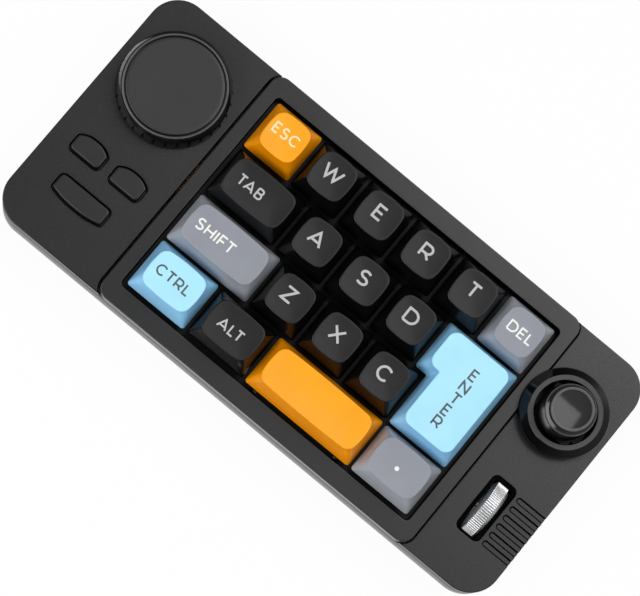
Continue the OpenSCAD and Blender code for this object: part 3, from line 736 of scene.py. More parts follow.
# %% The left cover
BUSH_R = 3.6
knob = middle("knob_skirt")
bush_hole = arc(knob.x, knob.y, BUSH_R, 0, 354, 59)
# The holes' walls take the sheenless black, as painted shade.
left_shape = Shape().plate(cover_outline(-1, LEFT_SEAM), [bush_hole, *holes.values()],
                           SEAM_Z, COVER_Z, COVER_EDGE, steps=4, bore=1)
make("cover_left", left_shape, "case", [case_plastic, painted_shade_black], "left_cover")
print("left cover with", len(holes) + 1, "holes")

# %% [markdown]
# The right cover has the bore for the joystick, the slot for the wheel, and six grooves that
# run out over the edge. A groove is a shallow floor with a fine channel round it in the
# sheenless black, painted shade that draws a dark line on both sides. Its cutter therefore is a
# bar whose underside is hollow, and the faces that it leaves behind take the finish with the
# same number.

# %% The right cover
GROOVES = 6
GROOVE_LEFT, GROOVE_BACK = 87.8, -10.95
GROOVE_PITCH, GROOVE_W = 3.45, 2.1
GROOVE_DEPTH, GROOVE_FLOOR = 1.5, 0.8
CHANNEL_W = 0.42
STICK_BORE = 10.9
SLOT = (9, 21.1, 2)
SLOT_Y = -19.42


def groove_cuts():
    cuts = Shape()
    section = ((-GROOVE_FLOOR, -CHANNEL_W), (-GROOVE_DEPTH, -CHANNEL_W), (-GROOVE_DEPTH, 0.0),
               (-0.06, 0.0), (0.0, 0.06), (0.6, 0.1))
    past_edge = CASE_W / 2 + 4
    for i in range(GROOVES):
        y = GROOVE_BACK - i * GROOVE_PITCH
        rings = []
        for z, grow in section:
            r = GROOVE_W / 2 + grow
            loop = arc(GROOVE_LEFT + GROOVE_W / 2, y, r, 90, 270, 16)
            rings.append(at(loop + [(past_edge, y - r), (past_edge, y + r)], COVER_Z + z))
        cuts.loft(rings, lambda level, _: 1 if 0 <= level < 3 else 0)
    return cuts


slot = round_rect(*SLOT, wheel.x, SLOT_Y)
stick_hole = arc(collar.x, collar.y, STICK_BORE, 0, 357, 119)
# The holes' walls and the grooves' channels take the sheenless black, as painted shade.
right_shape = Shape().plate(cover_outline(1, RIGHT_SEAM), [stick_hole, slot],
                            SEAM_Z, COVER_Z, COVER_EDGE, steps=4, bore=1)
make("cover_right", right_shape, "case", [case_plastic, painted_shade_black], "right_cover", groove_cuts())
print("right cover with", GROOVES, "grooves")

# %% [markdown]
# Inside the slot, a ledge in the sheenless black comes close to the wheel all round, as painted
# shade, so that the wheel seems to rise out of a dark gap. It is a plate with a cylinder cut
# out along the axle.

# %% The ledge in the wheel's slot
LEDGE_DROP, LEDGE_GAP, LEDGE_HALF = 0.7, 0.3, 3.3
wheel_r = (span("scroll_wheel")[1].z - span("scroll_wheel")[0].z) / 2
shade_ledge = Shape().plate(moved(slot, -0.05), [], SEAM_Z + 0.02, COVER_Z - LEDGE_DROP, 0.02, 0.02)
make("wheel_slot_ledge", shade_ledge, "case", [painted_shade_black], "right_cover",
     Shape().loft(along_axle(wheel_r + LEDGE_GAP, LEDGE_HALF)), slot="switch_plastic")
print("ledge around a wheel of radius", round(wheel_r, 2))

# %% [markdown]
# ## The buttons
# A button is its own hole's outline, drawn in by the gap, with a softened top rim. The flange
# that keeps it from falling out and the plungers on the switches lie under the cover.

# %% The buttons
BUTTON_GAP = 0.55
FLANGE_REACH, FLANGE_T = 0.7, 1.2
BOSS_R, BOSS_LOW = 2.2, 12.4
PLUNGER_R, PLUNGER_TOP = 1.7, 12.3
WIDE_REACH = 6


def button_shape(name):
    low, high = span("button_" + name)
    spot = (low + high) / 2
    flange_top = SEAM_Z - 0.1
    flange_low = flange_top - FLANGE_T
    shape = Shape().plate(moved(holes[name], BUTTON_GAP), [], flange_low, high.z, 0.45, steps=4)
    shape.plate(moved(holes[name], -FLANGE_REACH), [], flange_low, flange_top, 0.1)
    boss = [(BOSS_R - 0.1, BOSS_LOW), (BOSS_R, BOSS_LOW + 0.1), (BOSS_R, flange_top - 1.1)]
    plunger = [(PLUNGER_R - 0.1, low.z), (PLUNGER_R, low.z + 0.1), (PLUNGER_R, PLUNGER_TOP)]
    for dx in ((-WIDE_REACH, WIDE_REACH) if name == "wide" else (0,)):
        for profile in (boss, plunger):
            shape.lathe(profile, spot.x + dx, spot.y, steps=48)
    return shape


for name in holes:
    make("push_button_" + name, button_shape(name), name + "_button", [button_plastic],
         "button_" + name)
print("buttons:", ", ".join(holes))

# %% [markdown]
# ## The knob
# The skirt is turned on a lathe: a foot, a steep wall, a shoulder that leans in, and the recess
# for the disc. Thirty fine grooves with a V for their section run down the wall and give the
# shoulder its scalloped edge. The paler ring on top is a lathe turning of its own.

# %% The knob
skirt_low, skirt_high = span("knob_skirt")
knob_r = (skirt_high.x - skirt_low.x) / 2
top_z = skirt_high.z
disc_low, disc_high = span("knob_disc")
disc_r = (disc_high.x - disc_low.x) / 2
SHOULDER_R, SHOULDER_TOP_R, SHOULDER_H = 18.1, 17.15, 2.4
RING_R, RING_IN_R = 16.85, disc_r + 0.62
KNOB_BORE, HUB_R = 3.05, 6
NOTCHES, NOTCH_HALF = 30, 0.75


def skirt_shape():
    foot = skirt_low.z
    profile = [
        (KNOB_BORE, foot + 2), (HUB_R, foot + 2), (HUB_R, disc_low.z - 1.5), (15, disc_low.z - 1.5),
        (17.1, foot), (knob_r - 0.25, foot), (knob_r - 0.07, foot + 0.07), (knob_r, foot + 0.25),
        (knob_r, foot + 0.55), (SHOULDER_R + 0.03, top_z - SHOULDER_H - 0.15),
        (SHOULDER_R - 0.03, top_z - SHOULDER_H + 0.06), (SHOULDER_TOP_R + 0.03, top_z - 0.41),
        (SHOULDER_TOP_R, top_z - 0.35), (SHOULDER_TOP_R - 0.08, top_z - 0.35),
        (RING_R + 0.02, top_z - 0.9), (RING_R - 0.2, top_z - 0.9), (RING_R - 0.2, top_z - 0.14),
        (RING_IN_R, top_z - 0.14), (RING_IN_R, disc_low.z), (KNOB_BORE, disc_low.z),
    ]
    return Shape().lathe(profile, knob.x, knob.y, steps=240, joined=True)


def notch_cuts():
    """Bars of four corners down the wall, which start in a point above the foot."""
    cuts = Shape()
    for i in range(NOTCHES):
        a = 2 * math.pi * i / NOTCHES
        out, along = Vector((math.cos(a), math.sin(a), 0)), Vector((-math.sin(a), math.cos(a), 0))
        centre = Vector((knob.x, knob.y, skirt_low.z + 1)) + out * (knob_r + 0.05)
        corners = (out * -1.0, along * -NOTCH_HALF, out * 0.7, along * NOTCH_HALF)
        levels = ((centre + out * 0.3, 0.3), (centre + Vector((0, 0, 0.7)), 1),
                  (centre + Vector((0, 0, 9)), 1))
        cuts.loft([[tuple(place + c * size) for c in corners] for place, size in levels])
    return cuts


def ring_shape():
    inner, outer = RING_IN_R, RING_R
    profile = [(inner, top_z - 0.4), (outer - 0.02, top_z - 0.4), (outer, top_z - 0.24),
               (outer - 0.05, top_z - 0.1), (outer - 0.16, top_z - 0.02), (outer - 0.3, top_z),
               (inner + 0.14, top_z), (inner + 0.03, top_z - 0.06), (inner - 0.02, top_z - 0.2)]
    return Shape().lathe(profile, knob.x, knob.y, steps=240, joined=True)


make("knob_skirt_turned", skirt_shape(), "knob", [knob_gloss], "knob_skirt", notch_cuts(),
     smooth=28)
make("knob_ring_turned", ring_shape(), "knob", [knob_ring_plastic], "knob_skirt",
     slot="knob_matte")
disc_edge = [(0.25, 0.0), (0.07, 0.08), (0.0, 0.25), (0.01, 1)]
disc_profile = [(disc_r - 0.1, disc_low.z), (disc_r, disc_low.z + 0.1)]
disc_profile += [(disc_r - inset, disc_high.z - down) for down, inset in disc_edge]
disc_profile.append((4, disc_high.z - 0.06))
make("knob_disc_turned", Shape().lathe(disc_profile, knob.x, knob.y, steps=160), "knob",
     [knob_disc_plastic], "knob_disc")
print("knob radius", round(knob_r, 2), "disc radius", round(disc_r, 2))

# %% [markdown]
# ## The joystick
# All of it is turned too. The collar is a glossy cone with a flat satin ring on top. The dome
# slides under its lip, and the cap is a mushroom with a rounded rim round a dished face. The
# rim, its flat top and the flange's upper edge are in a paler plastic, a painted highlight.

# %% The joystick
lip_z = span("joystick_collar")[1].z
dome_low, dome_high = span("joystick_dome")
cap_low, cap_high = span("joystick_cap")
pivot_z = COVER_Z - 3.56
DOME_R, DOME_WALL, CROWN = 12.3, 1.3, 2.6
POST_BORE = 2.05
COLLAR_BORE, LIP_R = 12.6, 10.1


def collar_shape():
    foot = [(0.15, 0), (0, 0.15), (0, 4.4), (0.03, 4.54), (0.12, 4.66), (0.18, 4.71)]
    cone_top = [(2.38, 0.35), (2.44, 0.3), (2.5, 0.27), (2.53, 0.08), (2.6, 0), (2.7, 0)]
    lip = [(0.32, 0), (0.22, 0), (0.06, 0.06), (0, 0.22), (0, 1.4)]
    profile = [(COLLAR_BORE, COVER_Z)]
    profile += [(collar_r - inset, COVER_Z + up) for inset, up in foot]
    profile += [(collar_r - inset, lip_z - down) for inset, down in cone_top]
    profile += [(LIP_R + out, lip_z - down) for out, down in lip]
    profile.append((COLLAR_BORE, lip_z - 2.6))
    return Shape().lathe(profile, collar.x, collar.y,
                         lambda level, _: 1 if 11 <= level <= 13 else 0, steps=160, joined=True)


def dome_shape():
    def on_ball(r, z):
        return math.sqrt(r * r - (z - pivot_z) ** 2), z

    steps = 8
    heights = [dome_low.z + (dome_high.z - dome_low.z) * i / steps for i in range(steps + 1)]
    outside = [on_ball(DOME_R, z) for z in heights]
    crown_z = dome_high.z - CROWN
    inside = [on_ball(DOME_R - DOME_WALL, z) for z in (crown_z, dome_low.z)]
    profile = [(POST_BORE, crown_z), *inside, *outside, (POST_BORE, dome_high.z)]
    return Shape().lathe(profile, collar.x, collar.y, joined=True)


def cap_shape():
    rim, flange = cap_high.z, 8.25
    turns = [math.radians(a) for a in (0, 22, 45, 68, 90)]
    stem = [(POST_BORE, cap_low.z), (3.3, cap_low.z), (3.5, cap_low.z + 0.2), (3.5, rim - 4.7),
            (3.9, rim - 4.3)]
    wall = [(flange - 0.5, rim - 4.3), (flange - 0.14, rim - 4.15), (flange, rim - 3.85),
            (flange, rim - 3.25), (flange - 0.1, rim - 2.95), (flange - 0.4, rim - 2.72),
            (7.5, rim - 2.6), (7.15, rim - 2.4), (7.0, rim - 2.0)]
    lip = [(6.72 + 0.25 * math.cos(a), rim - 0.25 + 0.25 * math.sin(a)) for a in turns]
    flat = [(6.62, rim), (6.2, rim), (6.08, rim - 0.03), (6.02, rim - 0.12)]
    step = [(6.0, rim - 0.5), (5.9, rim - 0.52)]
    dish = [(5.9 * k / 8, rim - 0.52 - 0.6 * (1 - (k / 8) ** 2)) for k in range(7, 0, -1)]
    # Painted highlight: the flange's upper edge, the rim and its flat take the paler plastic.
    painted_highlight_levels = (8, 9, *range(len(stem + wall) + 1, len(stem + wall + lip + flat) - 1))
    return Shape().lathe(stem + wall + lip + flat + step + dish, collar.x, collar.y,
                         lambda level, _: 1 if level in painted_highlight_levels else 0)


make("joystick_collar_turned", collar_shape(), "case", [collar_gloss, stick_ring_satin],
     "joystick_collar")
make("joystick_dome_turned", dome_shape(), "stick", [dome_gloss], "joystick_dome")
make("joystick_cap_turned", cap_shape(), "stick", [stick_face_gloss, knob_ring_plastic],
     "joystick_cap")
print("joystick rim at", round(cap_high.z, 2))

# %% [markdown]
# ## The scroll wheel
# The wheel's outline is drawn once round the axle. Each rib has a rounded ridge and sloping
# flanks, so that it catches the light as a bright bar beside a dark valley; the tread's valleys
# also take a darker metal, as painted shade. The same outline at several widths makes the tread
# with softened ends, and plain circles make the bevelled flanks.

# %% The scroll wheel
wheel_half = (span("scroll_wheel")[1].x - span("scroll_wheel")[0].x) / 2
RIBS = 74
TREAD_HALF, RIB_HEIGHT = 2.0, 0.4
RIB_PROFILE = ((-0.5, 0.0), (-0.34, 0.12), (-0.22, 0.72), (-0.12, 0.96),
               (0.0, 1.0), (0.12, 0.96), (0.22, 0.72), (0.34, 0.12))


def wheel_ring(x, height, shrink):
    """One ring round the wheel, x from its middle: height is the ribs' height there."""
    points = []
    for i in range(RIBS):
        for turn, rise in RIB_PROFILE:
            a = (i + turn) * 2 * math.pi / RIBS
            r = wheel_r - RIB_HEIGHT - shrink + rise * height
            points.append((wheel.x + x, wheel.y + r * math.cos(a), wheel.z + r * math.sin(a)))
    return points


def wheel_shape():
    half, rib = TREAD_HALF, RIB_HEIGHT
    side = [(1.0, 0.0, 6.2), (1.0, 0.0, 3.0), (wheel_half, 0.0, 2.6), (wheel_half, 0.0, 1.3),
            (wheel_half - 0.1, 0.0, 1.1), (half + 0.1, 0.0, 0.05), (half, 0.5 * rib, 0.0),
            (half - 0.12, rib, 0.0)]
    rings = [wheel_ring(-x, height, shrink) for x, height, shrink in side]
    rings += [wheel_ring(x, height, shrink) for x, height, shrink in reversed(side)]
    count = len(RIB_PROFILE)
    # Painted shade: the valleys of the tread take the darker metal.
    painted_shade_columns = (0, count - 1)
    return Shape().loft(rings, lambda level, i: int(5 <= level <= 9 and i % count in painted_shade_columns))


make("scroll_wheel_ribbed", wheel_shape(), "wheel", [wheel_metal, wheel_valley_shade], "scroll_wheel",
     smooth=30)
print("wheel radius", round(wheel_r, 2), "with", RIBS, "ribs")

# %% [markdown]
# ## The keycaps
# A cap starts as a rectangle with small corners and ends in a smaller one with big corners and
# sides that bow out a little, so every level is drawn by the same function with other numbers.
# Above the rim the rings shrink towards the middle and sink: that is the dish for the finger.

# %% One level of a cap
CAP_LEAN, CAP_WALL, CAP_ROOF = 2.2, 1.5, 1.6
FOOT_R, RIM_R = 1.0, 3.3
RIM_BOW, RIM_SOFT, FOOT_SOFT = 0.3, 0.34, 0.12
DISH = 0.42
SIDE_STEPS, ARC_STEPS = 5, 8


def cap_level(x, y, half_x, half_y, r, bow, z):
    """A round rectangle whose sides bow out, as a ring of points."""
    turn_x = math.atan(2 * bow / (half_y - r))
    turn_y = math.atan(2 * bow / (half_x - r))
    cx = half_x - bow - r * math.cos(turn_x)
    cy = half_y - bow - r * math.cos(turn_y)
    end_y, end_x = cy + r * math.sin(turn_x), cx + r * math.sin(turn_y)
    shares = [i / SIDE_STEPS for i in range(SIDE_STEPS)]
    quarter = [(half_x - bow * u * u, u * end_y) for u in shares]
    quarter += arc(cx, cy, r, math.degrees(turn_x), 90 - math.degrees(turn_y), ARC_STEPS)
    quarter += [(u * end_x, half_y - bow * u * u) for u in reversed(shares)]
    ring = quarter + [(-px, py) for px, py in quarter[-2::-1]]
    ring += [(-px, -py) for px, py in quarter[1:]] + [(px, -py) for px, py in quarter[-2:0:-1]]
    return [(x + px, y + py, z) for px, py in ring]


print("one level has", len(cap_level(0, 0, 9, 9, 1, 0, 0)), "points")


# %% [markdown]
# The outside of a cap, its rim and its dish are one run of rings, and the hollow inside is the
# same run drawn smaller and followed back down. The stepped cap has an L for its outline. Its
# corners are moved in along both of their edges, which works for the inner corner as well.


# %% The cap's rings
def rim_profile(height):
    """(inset, height, corner radius, share of the way up) of each level, rim included."""
    levels = [(CAP_LEAN * (height - RIM_SOFT) / height * t, (height - RIM_SOFT) * t, t)
              for t in (0.0, 0.03, 0.25, 0.5, 0.75, 1.0)]
    start = levels[-1][0]
    levels += [(start + RIM_SOFT * (1 - math.cos(a)), height - RIM_SOFT * (1 - math.sin(a)), 1.0)
               for a in map(math.radians, (25, 50, 70, 90))]
    return [(inset + (0 if z else FOOT_SOFT), z, FOOT_R + (RIM_R - FOOT_R) * t ** 1.5, t)
            for inset, z, t in levels]


def hollow_profile(height):
    """(inset, height) of the hollow's levels, from its roof down."""
    return [(CAP_WALL + CAP_LEAN * z / height - grow, z)
            for z, grow in ((height - CAP_ROOF, 0.0), (0.3, 0.0), (0.0, 0.1))]


def plain_cap(low, high, base):
    """The rings of a rectangular cap, dish included, and the rings of its hollow."""
    x, y = (low.x + high.x) / 2, (low.y + high.y) / 2
    wide, deep = (high.x - low.x) / 2, (high.y - low.y) / 2
    height = high.z - base

    def level(inset, z, r, t=0.0):
        return cap_level(x, y, wide - inset, deep - inset, r, RIM_BOW * t, base + z)

    rings = [level(*step) for step in rim_profile(height)]
    core = max(wide - deep, 0)
    rim = rings[-1]
    for share in (0.93, 0.84, 0.72, 0.58, 0.42, 0.26, 0.1):
        sunk = base + height - DISH * (1 - share ** 2)
        ring = []
        for px, py, _ in rim:
            mx = x + max(-core, min(core, px - x))
            ring.append((mx + (px - mx) * share, y + (py - y) * share, sunk))
        rings.append(ring)
    return rings, [level(inset, z, FOOT_R) for inset, z in hollow_profile(height)]


def stepped_cap(low, high, base):
    """The same for the L-shaped cap, whose upper row reaches further left."""
    step_x, step_y = low.x + PITCH / 4, (low.y + high.y) / 2 + CAP_GAP / 2
    corners = [(high.x, high.y, -1, -1), (low.x, high.y, 1, -1), (low.x, step_y, 1, 1),
               (step_x, step_y, 1, 1), (step_x, low.y, 1, 1), (high.x, low.y, -1, 1)]
    turns = ((0, 90), (90, 180), (180, 270), (90, 0), (180, 270), (270, 360))
    height = high.z - base

    def ring(inset, z, r):
        loop = []
        for (px, py, sx, sy), (start, end) in zip(corners, turns):
            side, radius = (-1, 0.5) if start > end else (1, r)
            cx, cy = px + sx * inset + side * sx * radius, py + sy * inset + side * sy * radius
            loop += arc(cx, cy, radius, start, end, ARC_STEPS)
        return at(loop, base + z)

    rings = [ring(inset, z, r) for inset, z, r, _ in rim_profile(height)]
    start = rim_profile(height)[-1][0]
    for extra, sunk in ((0.5, 0.07), (1.1, 0.13), (1.8, 0.18), (2.6, 0.2)):
        rings.append(ring(start + extra, height - sunk, max(RIM_R - extra, 0.6)))
    return rings, [ring(inset, z, FOOT_R) for inset, z in hollow_profile(height)]


print("levels up the side:", [round(z, 2) for _, z, _, _ in rim_profile(8.5)])

# %% [markdown]
# Under each cap sit a round post and the switch's slider, which move with it. They are drawn
# plainly, because they only show when a cap is taken off. The two long keys also have a
# guide at each end, which the steel wire under the plate joins.

# %% Build the keycaps
CAP_BASE = FRAME_Z + 0.41
KEY_COLOUR = {k: slot_of["key_" + k].replace("cap_", "") for k in KEY_NAMES}
STAB_REACH = 11.94
POST_R = 2.75


def switch_middle(name):
    low, high = span("key_" + name)
    x = high.x - (high.x - low.x - PITCH / 4) / 2 if name == "enter" else (low.x + high.x) / 2
    return x, (low.y + high.y) / 2


def key_shape(name):
    low, high = span("key_" + name)
    rings, hollow = (stepped_cap if name == "enter" else plain_cap)(low, high, CAP_BASE)
    shape = Shape().loft(hollow + rings)
    x, y = switch_middle(name)
    roof = high.z - CAP_ROOF + 0.05
    guides = [(x, y)]
    reach = {"space": (STAB_REACH, 0), "enter": (0, STAB_REACH)}.get(name)
    if reach:
        guides += [(x + s * reach[0], y + s * reach[1]) for s in (-1, 1)]
    for gx, gy in guides:
        post = [(POST_R - 0.15, SEAM_Z + 7.15), (POST_R, SEAM_Z + 7.3), (POST_R, roof)]
        shape.lathe(post, gx, gy, steps=32)
        for width, depth in ((4, 1.3), (1.1, 4)):
            shape.block(width, depth, 0.1, SEAM_Z + 6.9, SEAM_Z + 7.15, gx, gy, 0.02, finish=1)
    shape.block(7, 5.8, 0.4, SEAM_Z + 5.4, SEAM_Z + 7, x, y, finish=1)
    shape.block(8.4, 7.4, 0.4, SEAM_Z + 0.8, SEAM_Z + 5.4, x, y, finish=1)
    shape.lathe([(1.0, SEAM_Z - 3.2), (1.2, SEAM_Z - 3.0), (1.2, SEAM_Z + 0.8)], x, y, 1, 24)
    for gx, gy in guides[1:]:
        size = (5, 4.4) if name == "space" else (4.4, 5)
        shape.block(*size, 0.4, SEAM_Z - 0.6, SEAM_Z + 6.8, gx, gy, finish=1)
    return shape


for name in KEY_NAMES:
    colour = KEY_COLOUR[name]
    make("keycap_" + name, key_shape(name), name + "_key", [cap_plastic[colour], slider_red],
         "key_" + name, smooth=24)
print("built", len(KEY_NAMES), "keycaps")

# %% [markdown]
# ## Legends
# The letters are drawn with a pen of one width, as on most keyboards: straight strokes and
# arcs in a box one unit high. A stroke becomes a thin ribbon that follows the cap's dish.

# %% Letters as strokes
PEN = 0.155
LETTER_GAP = 0.16


def oval(x, y, rx, ry, start, end, steps=14):
    """Points on part of an ellipse, for round strokes."""
    return [(x + rx * px, y + ry * py) for px, py in arc(0, 0, 1, start, end, steps)]


LETTERS = {
    "A": (0.98, [[(0, 0), (0.5, 1), (1, 0)], [(0.2, 0.27), (0.8, 0.27)]]),
    "B": (0.72, [[(0, 0), (0, 1)],
                 [(0, 1), (0.58, 1), *oval(0.58, 0.765, 0.36, 0.235, 80, -80), (0.58, 0.53),
                  (0, 0.53)],
                 [(0.58, 0.53), *oval(0.62, 0.265, 0.38, 0.265, 80, -80), (0.6, 0), (0, 0)]]),
    "C": (0.86, [oval(0.56, 0.5, 0.56, 0.5, 44, 316, 26)]),
    "D": (0.86, [[(0, 0), (0, 1), (0.42, 1), *oval(0.45, 0.5, 0.55, 0.5, 84, -84, 18), (0.42, 0),
                  (0, 0)]]),
    "E": (0.62, [[(1, 1), (0, 1), (0, 0), (1, 0)], [(0, 0.5), (0.88, 0.5)]]),
    "F": (0.60, [[(1, 1), (0, 1), (0, 0)], [(0, 0.48), (0.88, 0.48)]]),
    "H": (0.76, [[(0, 0), (0, 1)], [(1, 0), (1, 1)], [(0, 0.5), (1, 0.5)]]),
    "I": (0.155, [[(0, 0), (0, 1)]]),
    "L": (0.58, [[(0, 1), (0, 0), (1, 0)]]),
    "N": (0.78, [[(0, 0), (0, 1), (1, 0), (1, 1)]]),
    "R": (0.74, [[(0, 0), (0, 1), (0.52, 1), *oval(0.55, 0.68, 0.42, 0.32, 80, -80), (0.52, 0.36),
                  (0, 0.36)], [(0.52, 0.36), (1, 0)]]),
    "S": (0.70, [oval(0.5, 0.745, 0.44, 0.255, 35, 180, 12)[:-1]
                 + oval(0.5, 0.745, 0.44, 0.235, 180, 262, 6)
                 + oval(0.5, 0.255, 0.5, 0.255, 82, -140, 20)]),
    "T": (0.76, [[(0, 1), (1, 1)], [(0.5, 1), (0.5, 0)]]),
    "W": (1.36, [[(0, 1), (0.26, 0), (0.5, 0.95), (0.74, 0), (1, 1)]]),
    "X": (0.86, [[(0, 0), (1, 1)], [(0, 1), (1, 0)]]),
    "Z": (0.78, [[(0, 1), (1, 1), (0, 0), (1, 0)]]),
}
print("letters:", "".join(LETTERS))


# %% [markdown]
# A ribbon runs along each side of its stroke, and its corners are cut where the pen would
# leave a long spike. Strokes of one letter cross, so each lies two thousandths of a millimetre
# above the one before, and no two of their faces share a plane. Some pairs of letters, such
# as TA, leave a hole between them, so they move together.

# %% From strokes to ribbons
KERN = {"TA": -0.16, "FT": -0.1, "LT": -0.14, "CT": -0.03, "TR": -0.03}
LEGEND_UP, LEGEND_DOWN, LEGEND_STEP = 0.03, 0.12, 0.002
LONGEST = 0.8
SPIKE = 1.9


def ribbon(points, half):
    """Left and right edge points of a stroke, half its width from its middle line."""
    points = [Vector(p) for p in points]
    left, right = [], []
    for i, here in enumerate(points):
        into = (here - points[i - 1]).normalized() if i else (points[1] - here).normalized()
        away = (points[i + 1] - here).normalized() if i < len(points) - 1 else into
        both = Vector((-into.y - away.y, into.x + away.x))
        side = both.normalized() * half * min(2 / max(both.length, 0.01), SPIKE)
        left.append(here + side)
        right.append(here - side)
    return left, right


def finer(points, longest):
    """The same line with no piece longer than longest."""
    out = [Vector(points[0])]
    for a, b in zip(points, points[1:]):
        a, b = Vector(a), Vector(b)
        count = max(1, math.ceil((b - a).length / longest))
        out += [a.lerp(b, (i + 1) / count) for i in range(count)]
    return out


def add_stroke(shape, points, half, surface, lift):
    points = [p for i, p in enumerate(points)
              if i == 0 or (Vector(p) - Vector(points[i - 1])).length > 0.01]
    rings = []
    for a, b in zip(*ribbon(finer(points, LONGEST), half)):
        sides = ((a, lift), (b, lift), (b, -LEGEND_DOWN), (a, -LEGEND_DOWN))
        rings.append([(p.x, p.y, surface(*p) + up) for p, up in sides])
    shape.loft(rings)


def write(shape, text, left, front, height, width, surface):
    """Writes text from its lower left corner. A word's letters widen until even gaps are left."""
    pen = PEN * height
    gaps = [(LETTER_GAP + KERN.get(a + b, 0)) * height for a, b in zip(text, text[1:])] + [0]
    plain = sum(LETTERS[c][0] for c in text)
    stretch = (width - sum(gaps)) / plain
    sizes = [LETTERS[c][0] * stretch for c in text]
    for letter, size, gap in zip(text, sizes, gaps):
        for k, stroke in enumerate(LETTERS[letter][1]):
            line = [(left + pen / 2 + px * (size - pen), front + pen / 2 + py * (height - pen))
                    for px, py in stroke]
            add_stroke(shape, line, pen / 2, surface, LEGEND_UP + LEGEND_STEP * k)
        left += size + gap


print("pairs that move together:", ", ".join(KERN))


# %% [markdown]
# Each legend has a height, a width and its middle, measured from the middle of its cap. Words
# on the wide caps sit left of the middle, and the long blue cap carries its word downwards.

# %% Write the legends
LEGENDS = {
    "esc": ("ESC", 3.75, 9.8, -0.3, 0.9), "w": ("W", 5.1, 7.0, -0.4, 0.8),
    "e": ("E", 5.1, 3.7, -0.4, 0.8), "r": ("R", 5.1, 4.3, -0.4, 0.8),
    "t": ("T", 5.1, 4.2, -0.4, 0.8), "del": ("DEL", 3.75, 9.6, 0.3, 0.0),
    "tab": ("TAB", 3.8, 9.8, -3.1, 0.0), "a": ("A", 5.1, 5.3, -0.8, 0.9),
    "s": ("S", 5.2, 4.1, -0.7, 0.8), "d": ("D", 5.1, 5.0, -0.5, 0.8),
    "shift": ("SHIFT", 3.9, 14.8, -4.0, 0.1), "z": ("Z", 5.1, 4.3, -1.0, 0.7),
    "x": ("X", 5.1, 4.6, -0.7, 0.7), "c": ("C", 5.2, 4.8, -0.9, 0.7),
    "ctrl": ("CTRL", 3.7, 12.9, -0.5, 0.2), "alt": ("ALT", 3.7, 9.4, -0.8, -0.4),
}
ENTER_TOP, ENTER_PITCH, ENTER_HEIGHT, ENTER_WIDEN = 10.45, 4.6, 3.95, 1.08
DOT_R, DOT_X, DOT_Y = 0.75, -0.5, -0.7


def dish_surface(name):
    """The height of a cap's dished top at a point."""
    low, high = span("key_" + name)
    mid = (low + high) / 2
    deep = (high.y - low.y) / 2 - CAP_LEAN - RIM_SOFT
    core = max((high.x - low.x) / 2 - CAP_LEAN - RIM_SOFT - deep, 0)

    def height(x, y):
        dx = max(abs(x - mid.x) - core, 0) / deep
        dy = abs(y - mid.y) / deep
        share = (dx ** 5 + dy ** 5) ** 0.2
        return high.z - DISH * (1 - min(share, 1) ** 2)
    return height


def legend_shape(name):
    shape = Shape()
    low, high = span("key_" + name)
    mid = (low + high) / 2
    if name == "enter":
        x, _ = switch_middle(name)
        for k, letter in enumerate("ENTER"):
            width = LETTERS[letter][0] * ENTER_HEIGHT * ENTER_WIDEN
            write(shape, letter, x - width / 2 - 0.1, ENTER_TOP - ENTER_PITCH * k - ENTER_HEIGHT,
                  ENTER_HEIGHT, width, lambda px, py: high.z - 0.2)
        return shape
    surface = dish_surface(name)
    if name == "dot":
        z = surface(mid.x, mid.y)
        return shape.lathe([(DOT_R, z - LEGEND_DOWN), (DOT_R, z + LEGEND_UP)],
                           mid.x + DOT_X, mid.y + DOT_Y, steps=32)
    text, height, width, dx, dy = LEGENDS[name]
    write(shape, text, mid.x + dx - width / 2, mid.y + dy - height / 2, height, width, surface)
    return shape


for name in KEY_NAMES:
    if name != "space":
        tone = LEGEND_TONE[KEY_COLOUR[name]]
        make("legend_" + name, legend_shape(name), name + "_key", [tone], smooth=30)
print("wrote", len(KEY_NAMES) - 1, "legends")

# %% [markdown]
# ## Floor, light and camera
# The keypad lies on a white sweep. The camera, and every polished or clear surface, sees the
# floor nearly as pure white. The share that is left over is ordinary white paint, which keeps
# the keypad's shadow and throws light back at its sides.


# %% The floor
def floor_finish():
    finish = Finish("studio_floor", base_color=(0.86, 0.86, 0.86), roughness=0.7)
    glow = finish.node("Emission", inputs={"Color": (1.0, 1.0, 1.0), "Strength": 1.0})
    seen_by = [finish.node("LightPath", output=ray + " Ray")
               for ray in ("Is Camera", "Is Glossy", "Is Transmission")]
    share = 0.95 * (seen_by[0] + seen_by[1] + seen_by[2])
    paint = Value(finish, finish.shader.outputs[0])
    shown = finish.node("MixShader", inputs={0: share, 1: paint, 2: glow})
    finish.join(finish.tree.nodes["Material Output"].inputs["Surface"], shown)
    return finish.data


FLOOR_HALF = 3000.0
floor_shape = Shape()
corners = [(x * FLOOR_HALF, y * FLOOR_HALF, 0) for x, y in ((-1, -1), (1, -1), (1, 1), (-1, 1))]
floor_shape.add(corners, [(0, 1, 2, 3)], 0)
floor = new_object("studio_floor", floor_shape.mesh("studio_floor"))
floor.data.materials.append(floor_finish())
print("floor", 2 * FLOOR_HALF * MM, "m wide")

# %% [markdown]
# A studio is brighter on the side where its lamps stand, and the keypad's black edges show it.
# The world is therefore a smooth dome that is brightest towards the back right and nearly dark
# at the front left. The brightness is a power of how closely a direction agrees with that side.


# %% The world
class Sky(Finish):
    """The world's shader, with the same way of adding nodes."""

    def __init__(self, name):
        self.data = bpy.data.worlds.new(name)
        self.data.use_nodes = True
        self.tree = self.data.node_tree
        self.shader = self.tree.nodes["Background"]


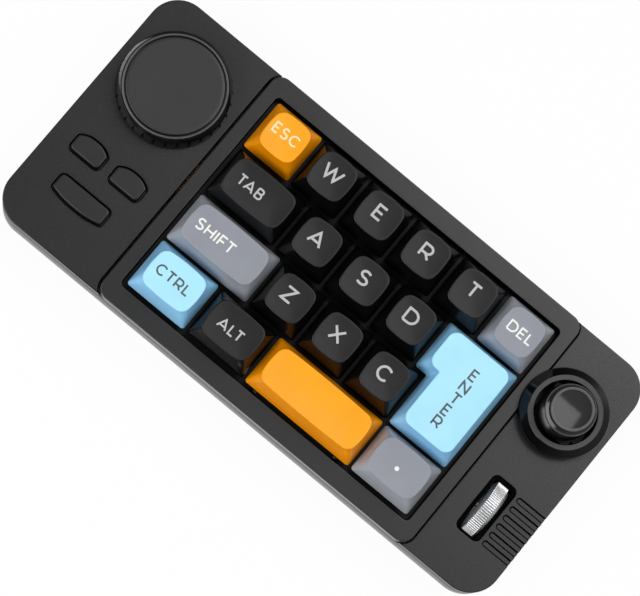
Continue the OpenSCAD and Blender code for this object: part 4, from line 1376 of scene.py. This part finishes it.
BRIGHT_SIDE = Vector((0.45, 0.25, 0.85)).normalized()
SKY_DARK, SKY_BRIGHT = 0.03, 0.53
FALL_OFF = 1.3
sky = Sky("studio")
direction = sky.node("TexCoord", output="Generated")
agreement = sky.node("VectorMath", {"operation": "DOT_PRODUCT"},
                     {0: direction, 1: tuple(BRIGHT_SIDE)}, output="Value")
share = agreement.maths("MAXIMUM", agreement, 0.0) ** FALL_OFF
dome = sky.blend(share, (SKY_DARK,) * 3, (SKY_BRIGHT,) * 3)
bpy.context.scene.world = sky.set(color=dome, strength=1.0)
print("world brightest towards", [round(v, 2) for v in BRIGHT_SIDE])

# %% [markdown]
# Two softboxes do the rest, both about a metre up. The near edge of the one behind the right
# side shows in the stick's dish. The one at the front left lights the caps' near sides.


# %% Light
def softbox(name, place, target, size, radiance):
    """An area light of size (width, height) metres that faces target."""
    lamp = bpy.data.lights.new(name, "AREA")
    lamp.shape = "RECTANGLE"
    lamp.size, lamp.size_y = size
    lamp.energy = radiance * math.pi * size[0] * size[1]
    made = new_object(name, lamp)
    made.location = place
    made.rotation_euler = (Vector(target) - Vector(place)).to_track_quat("-Z", "Y").to_euler()


softbox("key_light", (0.54, 0.63, 1.05), (0.54, 0, 0), (1.22, 1.0), 2.22)
softbox("side_light", (-0.6, -0.79, 0.97), (0, 0, 0), (1.5, 0.72), 4.25)

# %% [markdown]
# The photograph looks almost straight down, from nearly a metre away with a long lens. Its
# place and its three directions were fitted to the corners of the caps, the frame and the case.

# %% Camera
CAMERA_PLACE = Vector((1.95, -151.04, 947.11)) * MM
IMAGE_RIGHT = Vector((0.76981, 0.63046, 0.09953))
IMAGE_UP = Vector((-0.63827, 0.75985, 0.12344))
lens = bpy.data.cameras.new("photo_camera")
lens.sensor_width = 36
lens.lens = 168.45
lens.clip_start, lens.clip_end = 0.05, 10
camera = new_object("photo_camera", lens)
turn = Matrix((IMAGE_RIGHT, IMAGE_UP, IMAGE_RIGHT.cross(IMAGE_UP))).transposed()
camera.matrix_world = Matrix.Translation(CAMERA_PLACE) @ turn.to_4x4()
bpy.context.scene.camera = camera
bpy.context.scene.view_settings.view_transform = "Standard"
print("camera", round((camera.location).length, 3), "m away")
